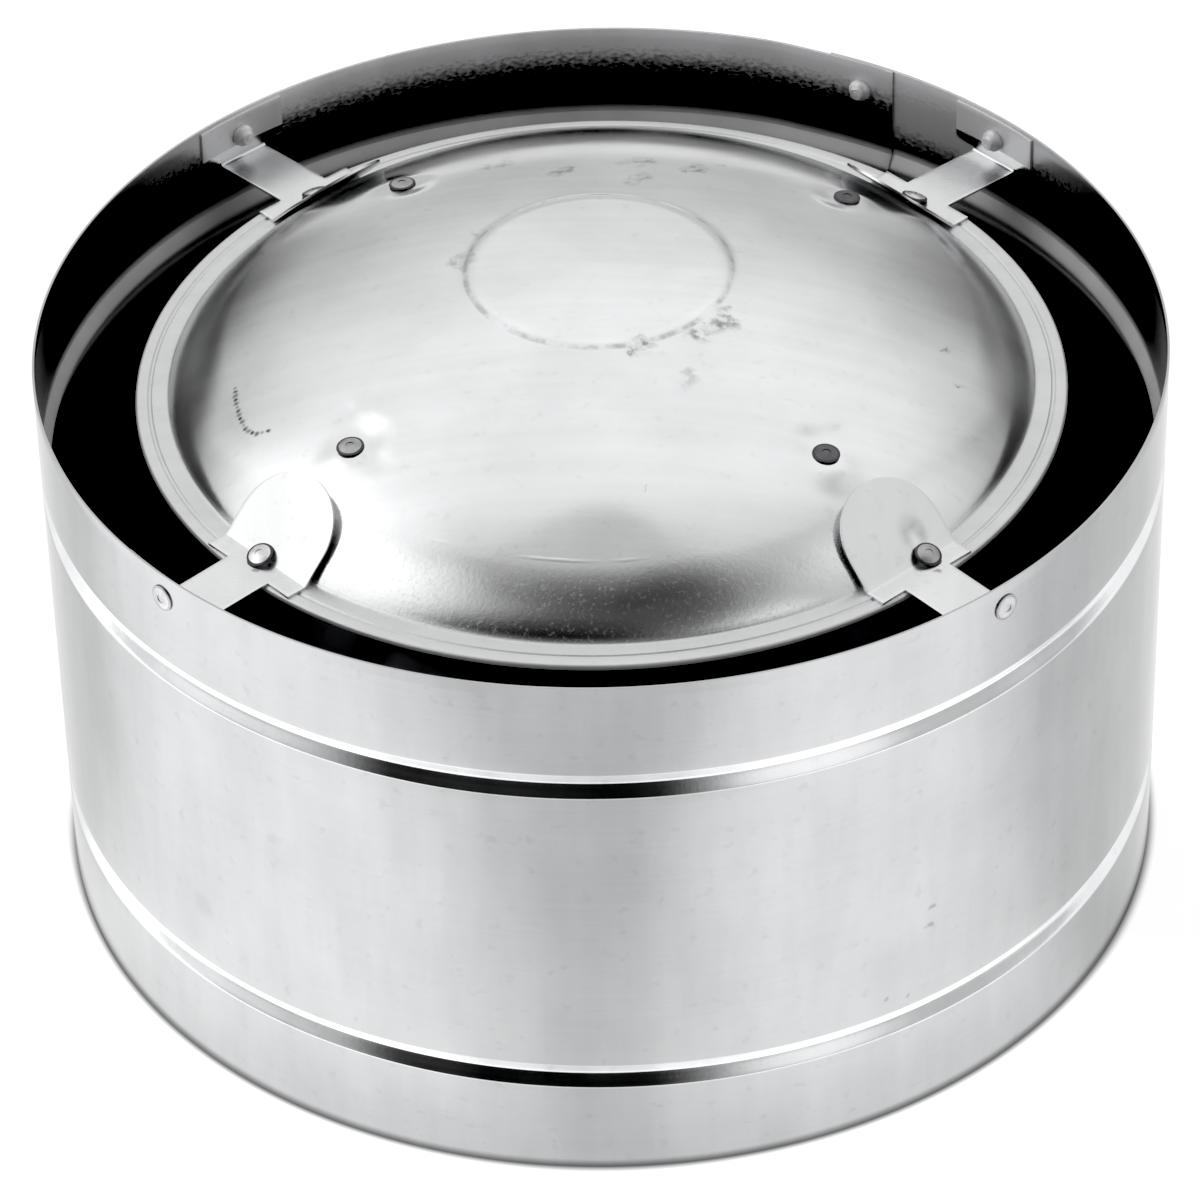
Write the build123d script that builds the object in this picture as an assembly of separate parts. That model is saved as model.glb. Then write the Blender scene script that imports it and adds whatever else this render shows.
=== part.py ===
from build123d import *
import os
from math import asin, atan2, cos, degrees, hypot, radians, sin, sqrt, tan

# Round rain cap for a double-wall gas vent pipe, all of folded, rolled and pressed sheet.
# Millimetres, +Z up. The origin is on the cap's axis, level with the shell's lower rim.
# The pipe comes up into the collar from below. Four legs carry the dome over the collar,
# and four brackets hang the shell from the dome.

# Outer shell: one sheet rolled round and lapped on itself
shell_radius = 133.35
shell_height = 142.0
shell_sheet = 0.6
bead_inset = 28.0
bead_width = 7.0
bead_depth = 1.9
bead_edge_radius = 1.2
seam_angle = 59.0
lap_width = 18.0
lap_gap = 0.05
joggle_radius = 70.0

# Dome: pressed from one disc. Its shoulder starts a little outside the collar, clear of the legs.
dome_sheet = 0.6
shoulder_outside_collar = 4.8
shoulder_width = 14.3
foot_bend = 1.2
rim_width = 7.7
rim_below_shell_top = 12.3
rim_lip_drop = 1.3
rim_lip_bend = 0.8
rim_groove_inset = 3.4
rim_groove_width = 1.2
rim_groove_depth = 0.35
shoulder_fall = 12.0
crown_sphere = 195.0
pad_radius = 30.5
pad_raise = 0.45
pad_edge = 0.9

# Brackets between dome and shell
bracket_sheet = 0.6
bracket_bend = 0.8
flange_width = 25.5
flange_below_shell_top = 0.8
strap_width = 14.0
strap_fall = 1.0
relief_radius = 0.8
head_width = 28.0
head_inset = 1.2
fold_outside_foot = 1.2
tab_length = 22.0
tab_clearance = 0.1

# Pipe collar
collar_bore = 83.2
collar_sheet = 0.6
collar_bottom = 6.0
collar_top = 107.3
stop_height = 61.0
stop_width = 6.5
stop_depth = 1.6
stop_edge_radius = 1.2

# Rain skirt
skirt_sheet = 0.6
skirt_outside_rim = 6.0
skirt_slope = 45.0
skirt_lip = 4.0
skirt_flange_length = 21.0
skirt_bend = 0.4
rib_inset = 11.5
rib_length = 13.0
rib_width = 6.0
rib_height = 1.2
rib_angles = (0, 90, 180, 270)

# Flue ring, which closes the pipe's air gap above the stop bead
ring_sheet = 0.6
ring_reach = 7.2
ring_flange_height = 12.0
ring_above_stop = 2.5
ring_slope = 40.0
ring_bend = 0.6

# Legs under the dome
leg_sheet = 0.8
leg_width = 16.0
leg_bend = 1.0
leg_rivet_inset = 6.2
leg_foot_reach = 7.0
leg_overlap = 20.0
rear_left_leg_rivet_shift = 4.2

# Blind rivets
rivet_shank_radius = 1.6
rivet_head_radius = 3.175
rivet_head_edge = 0.35
rivet_head_height = 1.0
rivet_pin_radius = 1.05
rivet_pin_depth = 0.45
rivet_tail_radius = 2.5
rivet_tail_length = 3.2
rivet_tail_chamfer = 0.8
rivet_hole_clearance = 0.05
rivet_drill_length = 10.0
wall_rivet_drop = 6.5
seam_rivet_end_drop = 7.6
seam_rivet_count = 3
leg_rivet_drop = 6.0
leg_rivet_pitch = 9.0
front_left_rivet_shift = 0.9
front_right_rivet_shift = 4.7
ring_rivet_angles = (15, 135, 255)
rivet_seat = 0.03

# Where the four brackets stand, seen from above
corners = {
    "rear_right": 45,
    "rear_left": 135,
    "front_left": 225,
    "front_right": 315,
}

# Where the four legs stand. They are set by hand, a little off the brackets.
leg_angles = {
    "rear_right": 41,
    "rear_left": 134,
    "front_left": 224,
    "front_right": 315,
}

# How far each bracket's rivet sits off the middle of its fold, as on a cap that is drilled by hand
fold_rivet_offsets = {
    "rear_right": 0.0,
    "rear_left": 0.0,
    "front_left": -front_left_rivet_shift,
    "front_right": front_right_rivet_shift,
}

# Sizes that follow from the ones above
shell_bore = shell_radius - shell_sheet
lap_step = shell_sheet + lap_gap
lap_angle = degrees(lap_width / shell_radius)
shoulder_radius = collar_bore + shoulder_outside_collar
foot_radius = shoulder_radius + shoulder_width
rim_radius = foot_radius + rim_width
rim_groove_radius = rim_radius - rim_groove_inset
rim_top = shell_height - rim_below_shell_top
crown_centre = rim_top + shoulder_fall - sqrt(crown_sphere**2 - shoulder_radius**2)
fold_radius = foot_radius + fold_outside_foot
head_radius = rim_radius - head_inset
skirt_radius = rim_radius + skirt_outside_rim
skirt_flange_bore = collar_bore - skirt_sheet
ring_inner_radius = collar_bore - ring_reach
leg_outer_face = sqrt(skirt_flange_bore**2 - (leg_width / 2) ** 2)
dome_rivet_radius = leg_outer_face - leg_rivet_inset
leg_rivet_radii = {corner: dome_rivet_radius for corner in corners}
leg_rivet_radii["rear_left"] -= rear_left_leg_rivet_shift
rivet_hole_radius = rivet_shank_radius + rivet_hole_clearance


def crown_height(radius):
    """Height of the crown's outer surface at a radius from the axis."""
    return crown_centre + sqrt(crown_sphere**2 - radius**2)


def upright(face):
    """Stand a face drawn in radius and height up in the plane through the axis."""
    return Plane.XZ * face


def turned(shape, angle):
    return Rot(0, 0, angle) * shape


def ring_sector(bore, outside, bottom, top, width):
    """Slice of a tube, as wide as a chord, on the +X side."""
    tube = Pos(0, 0, bottom) * Cylinder(outside, top - bottom, align=(Align.CENTER, Align.CENTER, Align.MIN))
    hollow = Pos(0, 0, bottom) * Cylinder(bore, top - bottom, align=(Align.CENTER, Align.CENTER, Align.MIN))
    slab = Pos(0, 0, bottom) * Box(outside, width, top - bottom, align=(Align.MIN, Align.CENTER, Align.MIN))
    return (tube - hollow) & slab


def bent_sheet(path, thickness, side):
    """Section of a sheet of even thickness that has one face on the path."""
    outline = Wire(path.edges()).offset_2d(thickness, kind=Kind.INTERSECTION, side=side, closed=True)
    return make_face(outline.edges())


def bead_edges(radius, height, width, depth, edge_radius):
    """Pressed bead that dips towards the axis: two edge arcs and a groove arc, all tangent."""
    reach = (depth**2 + width**2 / 4) / (2 * depth)
    steep = asin(width / 2 / reach)
    start = (radius, height - width / 2)
    inner_r = radius - edge_radius + edge_radius * cos(steep)
    inner_z = edge_radius * sin(steep)
    low = (inner_r, height - width / 2 + inner_z)
    bottom = (radius - depth, height)
    high = (inner_r, height + width / 2 - inner_z)
    end = (radius, height + width / 2)
    return [
        TangentArc(start, low, tangent=(0, 1)),
        TangentArc(low, bottom, tangent=(-sin(steep), cos(steep))),
        TangentArc(bottom, high, tangent=(0, 1)),
        TangentArc(high, end, tangent=(sin(steep), cos(steep))),
    ]


def beaded_wall(radius, bottom, top, beads):
    """Edges of a straight wall from bottom to top with beads at the heights given."""
    edges = []
    height = bottom
    for bead_height, width, depth, edge_radius in beads:
        edges.append(Line((radius, height), (radius, bead_height - width / 2)))
        edges += bead_edges(radius, bead_height, width, depth, edge_radius)
        height = bead_height + width / 2
    edges.append(Line((radius, height), (radius, top)))
    return edges


def wall_section(bore, thickness, bottom, top, beads):
    """Section of a beaded wall. Its outside is its inside moved outwards, so that lapped beads nest."""
    inside = beaded_wall(bore, bottom, top, beads)
    outside = beaded_wall(bore + thickness, bottom, top, beads)
    ends = [Line((bore, height), (bore + thickness, height)) for height in (bottom, top)]
    return make_face(inside + outside + ends)


def shell_section(radius):
    bead_heights = (bead_inset, shell_height - bead_inset)
    beads = [(height, bead_width, bead_depth, bead_edge_radius) for height in bead_heights]
    return wall_section(radius - shell_sheet, shell_sheet, 0, shell_height, beads)


def head_crown(radius):
    """Height of a rivet head's round top at a radius from the rivet's axis."""
    rise = rivet_head_height - rivet_head_edge
    sphere = (rivet_head_radius**2 + rise**2) / (2 * rise)
    return rivet_head_height - sphere + sqrt(sphere**2 - radius**2)


def blind_rivet(grip):
    """Set blind rivet on +Z: a head with the broken pin sunk in it, the shank and the bulbed tail."""
    end = -grip - rivet_tail_length
    pin_end = rivet_head_height - rivet_pin_depth
    crown_start = (rivet_pin_radius, head_crown(rivet_pin_radius))
    crown_middle = (rivet_head_radius * 0.7, head_crown(rivet_head_radius * 0.7))
    crown_end = (rivet_head_radius, rivet_head_edge)
    section = make_face(
        [
            Polyline(
                crown_start,
                (rivet_pin_radius, pin_end),
                (0, pin_end),
                (0, end),
                (rivet_tail_radius - rivet_tail_chamfer, end),
                (rivet_tail_radius, end + rivet_tail_chamfer),
                (rivet_tail_radius, -grip),
                (rivet_shank_radius, -grip),
                (rivet_shank_radius, 0),
                (rivet_head_radius, 0),
                crown_end,
            ),
            ThreePointArc(crown_start, crown_middle, crown_end),
        ]
    )
    return revolve(upright(section), axis=Axis.Z)


def rivet_hole():
    """Drill for one rivet, on the same axis as blind_rivet and past both ends of its grip."""
    return Cylinder(rivet_hole_radius, rivet_drill_length)


def radial_place(radius, height, angle):
    """Frame on a cylinder whose Z points away from the axis."""
    direction = Vector(cos(radians(angle)), sin(radians(angle)), 0)
    return Plane(origin=direction * radius + Vector(0, 0, height), z_dir=direction, x_dir=(0, 0, 1)).location


def tilted_place(radius, height, tilt, angle):
    """Frame at a radius and height whose Z leans outwards from the vertical by the tilt."""
    out = Vector(cos(radians(angle)), sin(radians(angle)), 0)
    lean = out * sin(radians(tilt)) + Vector(0, 0, cos(radians(tilt)))
    across = Vector(-sin(radians(angle)), cos(radians(angle)), 0)
    return Plane(origin=out * radius + Vector(0, 0, height), z_dir=lean, x_dir=across).location


# Outer shell


def joggle_sizes():
    """Straight run and turn that carry the sheet from the lap's inner layer out to the full radius."""
    run = sqrt(lap_step * (2 * shell_radius - lap_step - 2 * joggle_radius))
    turn = degrees(atan2(run, shell_radius - lap_step - joggle_radius))
    return run, turn


def seam_rivet_places():
    angle = seam_angle + lap_angle / 2
    low = seam_rivet_end_drop
    pitch = (shell_height - 2 * seam_rivet_end_drop) / (seam_rivet_count - 1)
    return [radial_place(shell_radius, low + pitch * i, angle) for i in range(seam_rivet_count)]


def wall_rivet_places():
    return [radial_place(shell_radius, shell_height - wall_rivet_drop, angle) for angle in corners.values()]


def make_shell():
    """The sheet starts as the lap's inner layer, steps out, goes round and covers its own start."""
    run, turn = joggle_sizes()
    lap_end = seam_angle + lap_angle
    inner = upright(shell_section(shell_radius - lap_step))
    lap = revolve(turned(inner, seam_angle), axis=Axis.Z, revolution_arc=lap_angle)
    along = Vector(-sin(radians(lap_end)), cos(radians(lap_end)), 0)
    outwards = Vector(cos(radians(lap_end)), sin(radians(lap_end)), 0)
    straight = extrude(turned(inner, lap_end), amount=run, dir=along)
    centre = outwards * (shell_radius - lap_step - joggle_radius) + along * run
    bend = revolve(
        Pos(*(along * run)) * turned(inner, lap_end),
        axis=Axis(centre, (0, 0, 1)),
        revolution_arc=turn,
    )
    outer = upright(shell_section(shell_radius))
    main = revolve(turned(outer, lap_end + turn), axis=Axis.Z, revolution_arc=360 - turn)
    shell = lap + straight + bend + main
    for place in wall_rivet_places() + seam_rivet_places():
        shell -= place * rivet_hole()
    return shell


# Dome


def dome_face(inset):
    """Outer face of the dome from its axis to its lip, or the underside when inset is the sheet."""
    pad_sphere = crown_sphere + pad_raise - inset
    sphere = crown_sphere - inset
    pad_lean = asin(pad_radius / crown_sphere)
    step_lean = asin((pad_radius + pad_edge) / crown_sphere)
    shoulder_lean = asin(shoulder_radius / crown_sphere)
    pad_rim = on_sphere(pad_sphere, pad_lean)
    step_foot = on_sphere(sphere, step_lean)
    shoulder = on_sphere(sphere, shoulder_lean)
    centre_r, centre_z, shoulder_bend = shoulder_circle()
    foot_r, foot_z = foot_centre()
    share = (shoulder_bend - inset) / (shoulder_bend + foot_bend)
    shoulder_end = (centre_r + (foot_r - centre_r) * share, centre_z + (foot_z - centre_z) * share)
    along = (foot_z - centre_z, centre_r - foot_r)
    level = rim_top - inset
    groove_in = rim_groove_radius - rim_groove_width / 2
    groove_out = rim_groove_radius + rim_groove_width / 2
    lip_start = (rim_radius - rim_lip_bend, level)
    lip_turn = (rim_radius - inset, rim_top - rim_lip_bend)
    return [
        ThreePointArc((0, crown_centre + pad_sphere), on_sphere(pad_sphere, pad_lean / 2), pad_rim),
        Line(pad_rim, step_foot),
        ThreePointArc(step_foot, on_sphere(sphere, (step_lean + shoulder_lean) / 2), shoulder),
        TangentArc(shoulder, shoulder_end, tangent=(cos(shoulder_lean), -sin(shoulder_lean))),
        TangentArc(shoulder_end, (foot_r, level), tangent=along),
        Line((foot_r, level), (groove_in, level)),
        ThreePointArc((groove_in, level), (rim_groove_radius, level - rim_groove_depth), (groove_out, level)),
        Line((groove_out, level), lip_start),
        TangentArc(lip_start, lip_turn, tangent=(1, 0)),
        Line(lip_turn, (rim_radius - inset, rim_top - rim_lip_drop)),
    ]


def on_sphere(radius, lean):
    """Point at an angle from the axis on a sphere about the crown's centre."""
    return (radius * sin(lean), crown_centre + radius * cos(lean))


def shoulder_circle():
    """Centre and radius of the shoulder's arc, which ends the crown tangentially and meets the foot."""
    lean = asin(shoulder_radius / crown_sphere)
    fall = crown_height(shoulder_radius) - rim_top
    span = foot_radius - shoulder_radius
    chord = hypot(span, fall)
    bend = atan2(fall, span) - lean
    radius = chord / (2 * sin(bend))
    centre_r = shoulder_radius - radius * sin(lean)
    centre_z = crown_height(shoulder_radius) - radius * cos(lean)
    return centre_r, centre_z, radius


def foot_centre():
    """Centre of the bend between shoulder and rim, above the rim and outside the shoulder's arc."""
    centre_r, centre_z, radius = shoulder_circle()
    height = rim_top + foot_bend
    return centre_r + sqrt((radius + foot_bend) ** 2 - (height - centre_z) ** 2), height


def tab_rise():
    """Angle at which a bracket's tab leaves the rim so that it just clears the shoulder."""
    centre_r, centre_z, radius = shoulder_circle()
    across = fold_radius - centre_r
    down = rim_top - centre_z
    reach = hypot(across, down)
    return degrees(asin((radius + tab_clearance) / reach) - atan2(down, across))


def fold_rivet_seat():
    """Tilt, radius and height of the underside of the head that bridges a bracket's fold."""
    tilt = radians(tab_rise() / 2)
    standoff = rivet_head_radius * tan(tilt)
    radius = fold_radius + bracket_sheet * tan(tilt) + standoff * sin(tilt)
    height = rim_top + bracket_sheet + standoff * cos(tilt)
    return tilt, radius, height


def fold_rivet_grip(offset):
    """Length from that head to the ridge under the dome's foot, which the tail is drawn against."""
    tilt, radius, height = fold_rivet_seat()
    foot_r, foot_z = foot_centre()
    ridge_r = sqrt(foot_r**2 - (abs(offset) + rivet_tail_radius) ** 2)
    return (radius - ridge_r) * sin(tilt) + (height - foot_z) * cos(tilt) + foot_bend + dome_sheet


def fold_rivet_place(angle, offset):
    tilt, radius, height = fold_rivet_seat()
    return tilted_place(radius, height, degrees(tilt), angle) * Pos(offset, 0, 0)


def dome_rivet_place(radius, angle):
    tilt = degrees(asin(radius / crown_sphere))
    return tilted_place(radius, crown_height(radius), tilt, angle)


def make_dome():
    outer_face = dome_face(0)
    underside = dome_face(dome_sheet)
    top = Line(outer_face[0] @ 0, underside[0] @ 0)
    lip = Line(outer_face[-1] @ 1, underside[-1] @ 1)
    dome = revolve(upright(make_face(outer_face + underside + [top, lip])), axis=Axis.Z)
    for corner, angle in corners.items():
        dome -= fold_rivet_place(angle, fold_rivet_offsets[corner]) * rivet_hole()
        dome -= dome_rivet_place(leg_rivet_radii[corner], leg_angles[corner]) * rivet_hole()
    return dome


# Brackets


def bracket_mask(fold, rise):
    """Plan outline of a bracket: narrow strap, wide head and a tab with a round end."""
    depth = 2 * (shell_height - rim_top)
    corner = Pos(head_radius, 0, rim_top)
    strap_reach = shell_radius - head_radius
    strap = corner * Box(strap_reach, strap_width, depth, align=(Align.MIN, Align.CENTER, Align.CENTER))
    head_reach = head_radius - fold + 2 * bracket_sheet
    head = corner * Box(head_reach, head_width, depth, align=(Align.MAX, Align.CENTER, Align.CENTER))
    relief = Cylinder(relief_radius, depth)
    reliefs = [corner * Pos(0, side * strap_width / 2, 0) * relief for side in (-1, 1)]
    round_radius = head_width / 2
    up_tab = Vector(-cos(radians(rise)), 0, sin(radians(rise)))
    tab_plane = Plane(
        origin=(fold, 0, rim_top + bracket_sheet),
        x_dir=up_tab,
        z_dir=(sin(radians(rise)), 0, cos(radians(rise))),
    )
    sides = Rectangle(tab_length - round_radius, head_width, align=(Align.MIN, Align.CENTER))
    outline = sides + Pos(tab_length - round_radius, 0) * Circle(round_radius)
    outline &= Rectangle(tab_length, head_width, align=(Align.MIN, Align.CENTER))
    tab = extrude(tab_plane * outline, amount=3 * bracket_sheet, both=True)
    return strap + head + tab - reliefs


def make_bracket(offset):
    """Bracket on the +X side: curved wall flange, falling strap, head on the rim and rising tab."""
    rise = tab_rise()
    fold = fold_radius + bracket_sheet * tan(radians(rise) / 2)
    top = rim_top + bracket_sheet
    root = sqrt(shell_bore**2 - (strap_width / 2) ** 2) - bracket_sheet
    wall_level = top - strap_fall
    flange_top = shell_height - flange_below_shell_top
    flange_bottom = wall_level + bracket_bend
    path = FilletPolyline(
        (root, flange_bottom + bracket_sheet),
        (root, wall_level),
        (rim_radius + rim_lip_bend, top),
        (fold, top),
        (fold - tab_length * cos(radians(rise)), top + tab_length * sin(radians(rise))),
        radius=[bracket_bend, 0, 0],
    )
    section = bent_sheet(path, bracket_sheet, Side.LEFT)
    strip = extrude(upright(section), amount=head_width / 2, both=True)
    strip &= bracket_mask(fold, rise)
    flange = ring_sector(shell_bore - bracket_sheet, shell_bore, flange_bottom, flange_top, flange_width)
    bracket = strip + flange
    bracket -= radial_place(shell_radius, shell_height - wall_rivet_drop, 0) * rivet_hole()
    bracket -= fold_rivet_place(0, offset) * rivet_hole()
    return bracket


# Legs


def leg_foot_level(rivet_radius):
    """Distance from the crown sphere's centre to the foot's upper face, where its corners meet the dome."""
    inside = crown_sphere - dome_sheet
    to_bend = (leg_outer_face - rivet_radius) / cos(asin(rivet_radius / crown_sphere)) - leg_bend
    reach = max(leg_foot_reach, to_bend)
    return sqrt(inside**2 - reach**2 - (leg_width / 2) ** 2)


def leg_rivet_heights():
    return [collar_top - leg_rivet_drop, collar_top - leg_rivet_drop - leg_rivet_pitch]


def make_leg(rivet_radius):
    """Leg on the +X side: a foot along the dome's underside and an upright inside the collar."""
    tilt = asin(rivet_radius / crown_sphere)
    level = leg_foot_level(rivet_radius)
    foot_r = level * sin(tilt)
    foot_z = crown_centre + level * cos(tilt)
    inner_end = (foot_r - leg_foot_reach * cos(tilt), foot_z + leg_foot_reach * sin(tilt))
    knee = (leg_outer_face, foot_z - (leg_outer_face - foot_r) * tan(tilt))
    lower_end = (leg_outer_face, collar_top - leg_overlap)
    path = FilletPolyline(inner_end, knee, lower_end, radius=leg_bend + leg_sheet)
    section = bent_sheet(path, leg_sheet, Side.RIGHT)
    leg = extrude(upright(section), amount=leg_width / 2, both=True)
    leg -= dome_rivet_place(rivet_radius, 0) * rivet_hole()
    for height in leg_rivet_heights():
        leg -= radial_place(collar_bore, height, 0) * rivet_hole()
    return leg


# Collar, skirt and flue ring


def collar_rivet_places():
    """Places of the rivets at the foot of each leg, on the collar's outside."""
    outside = collar_bore + collar_sheet
    return [
        radial_place(outside, height, angle)
        for angle in leg_angles.values()
        for height in leg_rivet_heights()
    ]


def ring_bottom():
    return stop_height + stop_width / 2 + ring_above_stop


def ring_rivet_places():
    outside = collar_bore + collar_sheet
    height = ring_bottom() + ring_flange_height / 2
    return [radial_place(outside, height, angle) for angle in ring_rivet_angles]


def make_collar():
    bead = [(stop_height, stop_width, stop_depth, stop_edge_radius)]
    section = wall_section(collar_bore, collar_sheet, collar_bottom, collar_top, bead)
    collar = revolve(upright(section), axis=Axis.Z)
    for place in collar_rivet_places() + ring_rivet_places():
        collar -= place * rivet_hole()
    return collar


def skirt_face_height(radius):
    """Height of the skirt's upper face, which runs down and out from just over the collar's top edge."""
    slope = radians(skirt_slope)
    apex = collar_top + skirt_sheet / cos(slope) + (collar_sheet + skirt_sheet) * tan(slope)
    return apex - (radius - skirt_flange_bore) * tan(slope)


def make_rib():
    """Pressed rib on the +X side as an arch to add and a smaller arch to take away beneath it."""
    slope = radians(skirt_slope)
    rib_start_radius = skirt_radius - rib_inset
    start = Plane(
        origin=(rib_start_radius, 0, skirt_face_height(rib_start_radius)),
        x_dir=(0, 1, 0),
        z_dir=(cos(slope), 0, -sin(slope)),
    )
    half = rib_width / 2
    inner_half = half - skirt_sheet
    inner_height = rib_height - skirt_sheet
    sink = skirt_sheet / 2
    arch = make_face(
        [
            ThreePointArc((-half, 0), (0, rib_height), (half, 0)),
            Polyline((half, 0), (half, -sink), (-half, -sink), (-half, 0)),
        ]
    )
    depth = 2 * skirt_sheet
    hollow = make_face(
        [
            ThreePointArc((-inner_half, 0), (0, inner_height), (inner_half, 0)),
            Polyline((inner_half, 0), (inner_half, -depth), (-inner_half, -depth), (-inner_half, 0)),
        ]
    )
    inner_start = start * Pos(0, 0, skirt_sheet)
    inner_length = rib_length - 2 * skirt_sheet
    return extrude(start * arch, amount=rib_length), extrude(inner_start * hollow, amount=inner_length)


def make_skirt():
    """Skirt: a flange down the collar's inside, a cone over its edge, pressed ribs and a dripping lip."""
    apex = (skirt_flange_bore, skirt_face_height(skirt_flange_bore))
    rim = (skirt_radius, skirt_face_height(skirt_radius))
    path = FilletPolyline(
        (skirt_flange_bore, collar_top - skirt_flange_length),
        apex,
        rim,
        (skirt_radius, rim[1] - skirt_lip),
        radius=[0, skirt_bend + skirt_sheet],
    )
    skirt = revolve(upright(bent_sheet(path, skirt_sheet, Side.RIGHT)), axis=Axis.Z)
    arch, hollow = make_rib()
    for angle in rib_angles:
        skirt += turned(arch, angle)
        skirt -= turned(hollow, angle)
    for place in collar_rivet_places():
        skirt -= place * rivet_hole()
    return skirt


def make_ring():
    """Ring: a flange on the collar's bore and a cone down to the pipe's inner wall."""
    bottom = ring_bottom()
    fall = (collar_bore - ring_inner_radius) * tan(radians(ring_slope))
    path = FilletPolyline(
        (collar_bore, bottom + ring_flange_height),
        (collar_bore, bottom),
        (ring_inner_radius, bottom - fall),
        radius=ring_bend + ring_sheet,
    )
    ring = revolve(upright(bent_sheet(path, ring_sheet, Side.RIGHT)), axis=Axis.Z)
    for place in ring_rivet_places():
        ring -= place * rivet_hole()
    return ring


# Rivets, grouped by what they hold


def rivet_group(places, grip):
    return Compound(children=[place * blind_rivet(grip) for place in places])


def make_rivets():
    wall_grip = shell_sheet + bracket_sheet + rivet_seat
    seam_grip = lap_step + shell_sheet + rivet_seat
    leg_grip = collar_bore + collar_sheet - leg_outer_face + leg_sheet
    ring_grip = collar_sheet + ring_sheet + rivet_seat
    fold_rivets = []
    dome_rivets = []
    for corner, angle in corners.items():
        offset = fold_rivet_offsets[corner]
        fold_rivets.append(fold_rivet_place(angle, offset) * blind_rivet(fold_rivet_grip(offset)))
        radius = leg_rivet_radii[corner]
        dome_grip = crown_sphere - leg_foot_level(radius) + leg_sheet
        dome_rivets.append(dome_rivet_place(radius, leg_angles[corner]) * blind_rivet(dome_grip))
    return {
        "bracket_wall_rivets": rivet_group(wall_rivet_places(), wall_grip),
        "shell_seam_rivets": rivet_group(seam_rivet_places(), seam_grip),
        "bracket_dome_rivets": Compound(children=fold_rivets),
        "leg_dome_rivets": Compound(children=dome_rivets),
        "leg_collar_rivets": rivet_group(collar_rivet_places(), leg_grip),
        "flue_ring_rivets": rivet_group(ring_rivet_places(), ring_grip),
    }


def build():
    parts = {
        "outer_shell": make_shell(),
        "storm_dome": make_dome(),
        "pipe_collar": make_collar(),
        "rain_skirt": make_skirt(),
        "flue_ring": make_ring(),
    }
    for corner, angle in corners.items():
        parts["bracket_" + corner] = turned(make_bracket(fold_rivet_offsets[corner]), angle)
        parts["leg_" + corner] = turned(make_leg(leg_rivet_radii[corner]), leg_angles[corner])
    parts.update(make_rivets())
    return parts


os.makedirs("parts", exist_ok=True)
for name, shape in build().items():
    export_step(shape, "parts/" + name + ".step")
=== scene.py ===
# %% [markdown]
# A round rain cap for a vent pipe, dressed for a studio picture. The cap is all thin galvanised
# sheet: a beaded shell, a pressed dome, folded brackets and blind rivets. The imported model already
# holds every size, so this lesson reads its sizes from there and only makes the surfaces finer:
# pressed beads, a lapped seam, dented sheet, drawn grain and scuffs.

# %% The frame and the units
from math import asin, atan2, cos, hypot, pi, radians, sin, sqrt, tan

import bmesh
import bpy
from mathutils import Matrix, Vector


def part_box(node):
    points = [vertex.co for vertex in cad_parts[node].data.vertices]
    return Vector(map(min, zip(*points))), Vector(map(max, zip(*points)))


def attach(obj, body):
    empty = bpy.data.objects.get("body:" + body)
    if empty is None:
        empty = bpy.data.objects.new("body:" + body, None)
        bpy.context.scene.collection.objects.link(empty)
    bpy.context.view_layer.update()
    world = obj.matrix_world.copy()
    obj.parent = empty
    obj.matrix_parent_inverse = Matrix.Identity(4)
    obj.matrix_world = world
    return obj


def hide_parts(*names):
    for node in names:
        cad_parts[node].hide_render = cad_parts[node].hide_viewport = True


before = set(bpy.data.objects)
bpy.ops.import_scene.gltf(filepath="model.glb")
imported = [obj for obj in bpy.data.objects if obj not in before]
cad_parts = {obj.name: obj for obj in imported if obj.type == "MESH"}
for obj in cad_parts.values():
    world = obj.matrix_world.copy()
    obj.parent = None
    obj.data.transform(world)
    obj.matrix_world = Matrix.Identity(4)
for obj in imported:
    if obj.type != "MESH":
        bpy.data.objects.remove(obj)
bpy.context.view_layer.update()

MM = 0.001

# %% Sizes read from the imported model
SHELL_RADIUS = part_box("outer_shell")[1].x
SHELL_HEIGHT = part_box("outer_shell")[1].z
RIM_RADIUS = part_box("storm_dome")[1].x
DOME_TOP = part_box("storm_dome")[1].z
LIP_DROP = 1.3 * MM
RIM_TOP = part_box("storm_dome")[0].z + LIP_DROP
SHEET = 0.6 * MM
CORNERS = {"rear_right": 45, "rear_left": 135, "front_left": 225, "front_right": 315}
levels = (SHELL_RADIUS, SHELL_HEIGHT, RIM_TOP)
print("shell radius, height, rim level, mm:", [round(x / MM, 2) for x in levels])

# %% [markdown]
# The camera comes first, because every later choice is judged through it. The picture was taken
# with a long lens from about a metre and a half away, about 35 degrees above the cap's rim and
# slightly to the right of its front. A camera can be placed by hand in the viewport, but here its
# place is written as a turn, a distance and a height, so that each can be nudged by itself.

# %% Camera
CAMERA_TURN = radians(-86.75)
CAMERA_REACH = 1166.7 * MM
CAMERA_HEIGHT = 827.64 * MM + SHELL_HEIGHT
CAMERA_ROLL = -0.0251
LENS_MM = 182.51
SENSOR_MM = 36
NEAREST = 0.05
FARTHEST = 50
AIM_HEIGHT = 62.85 * MM
AIM_ACROSS = -1.62 * MM


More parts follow.
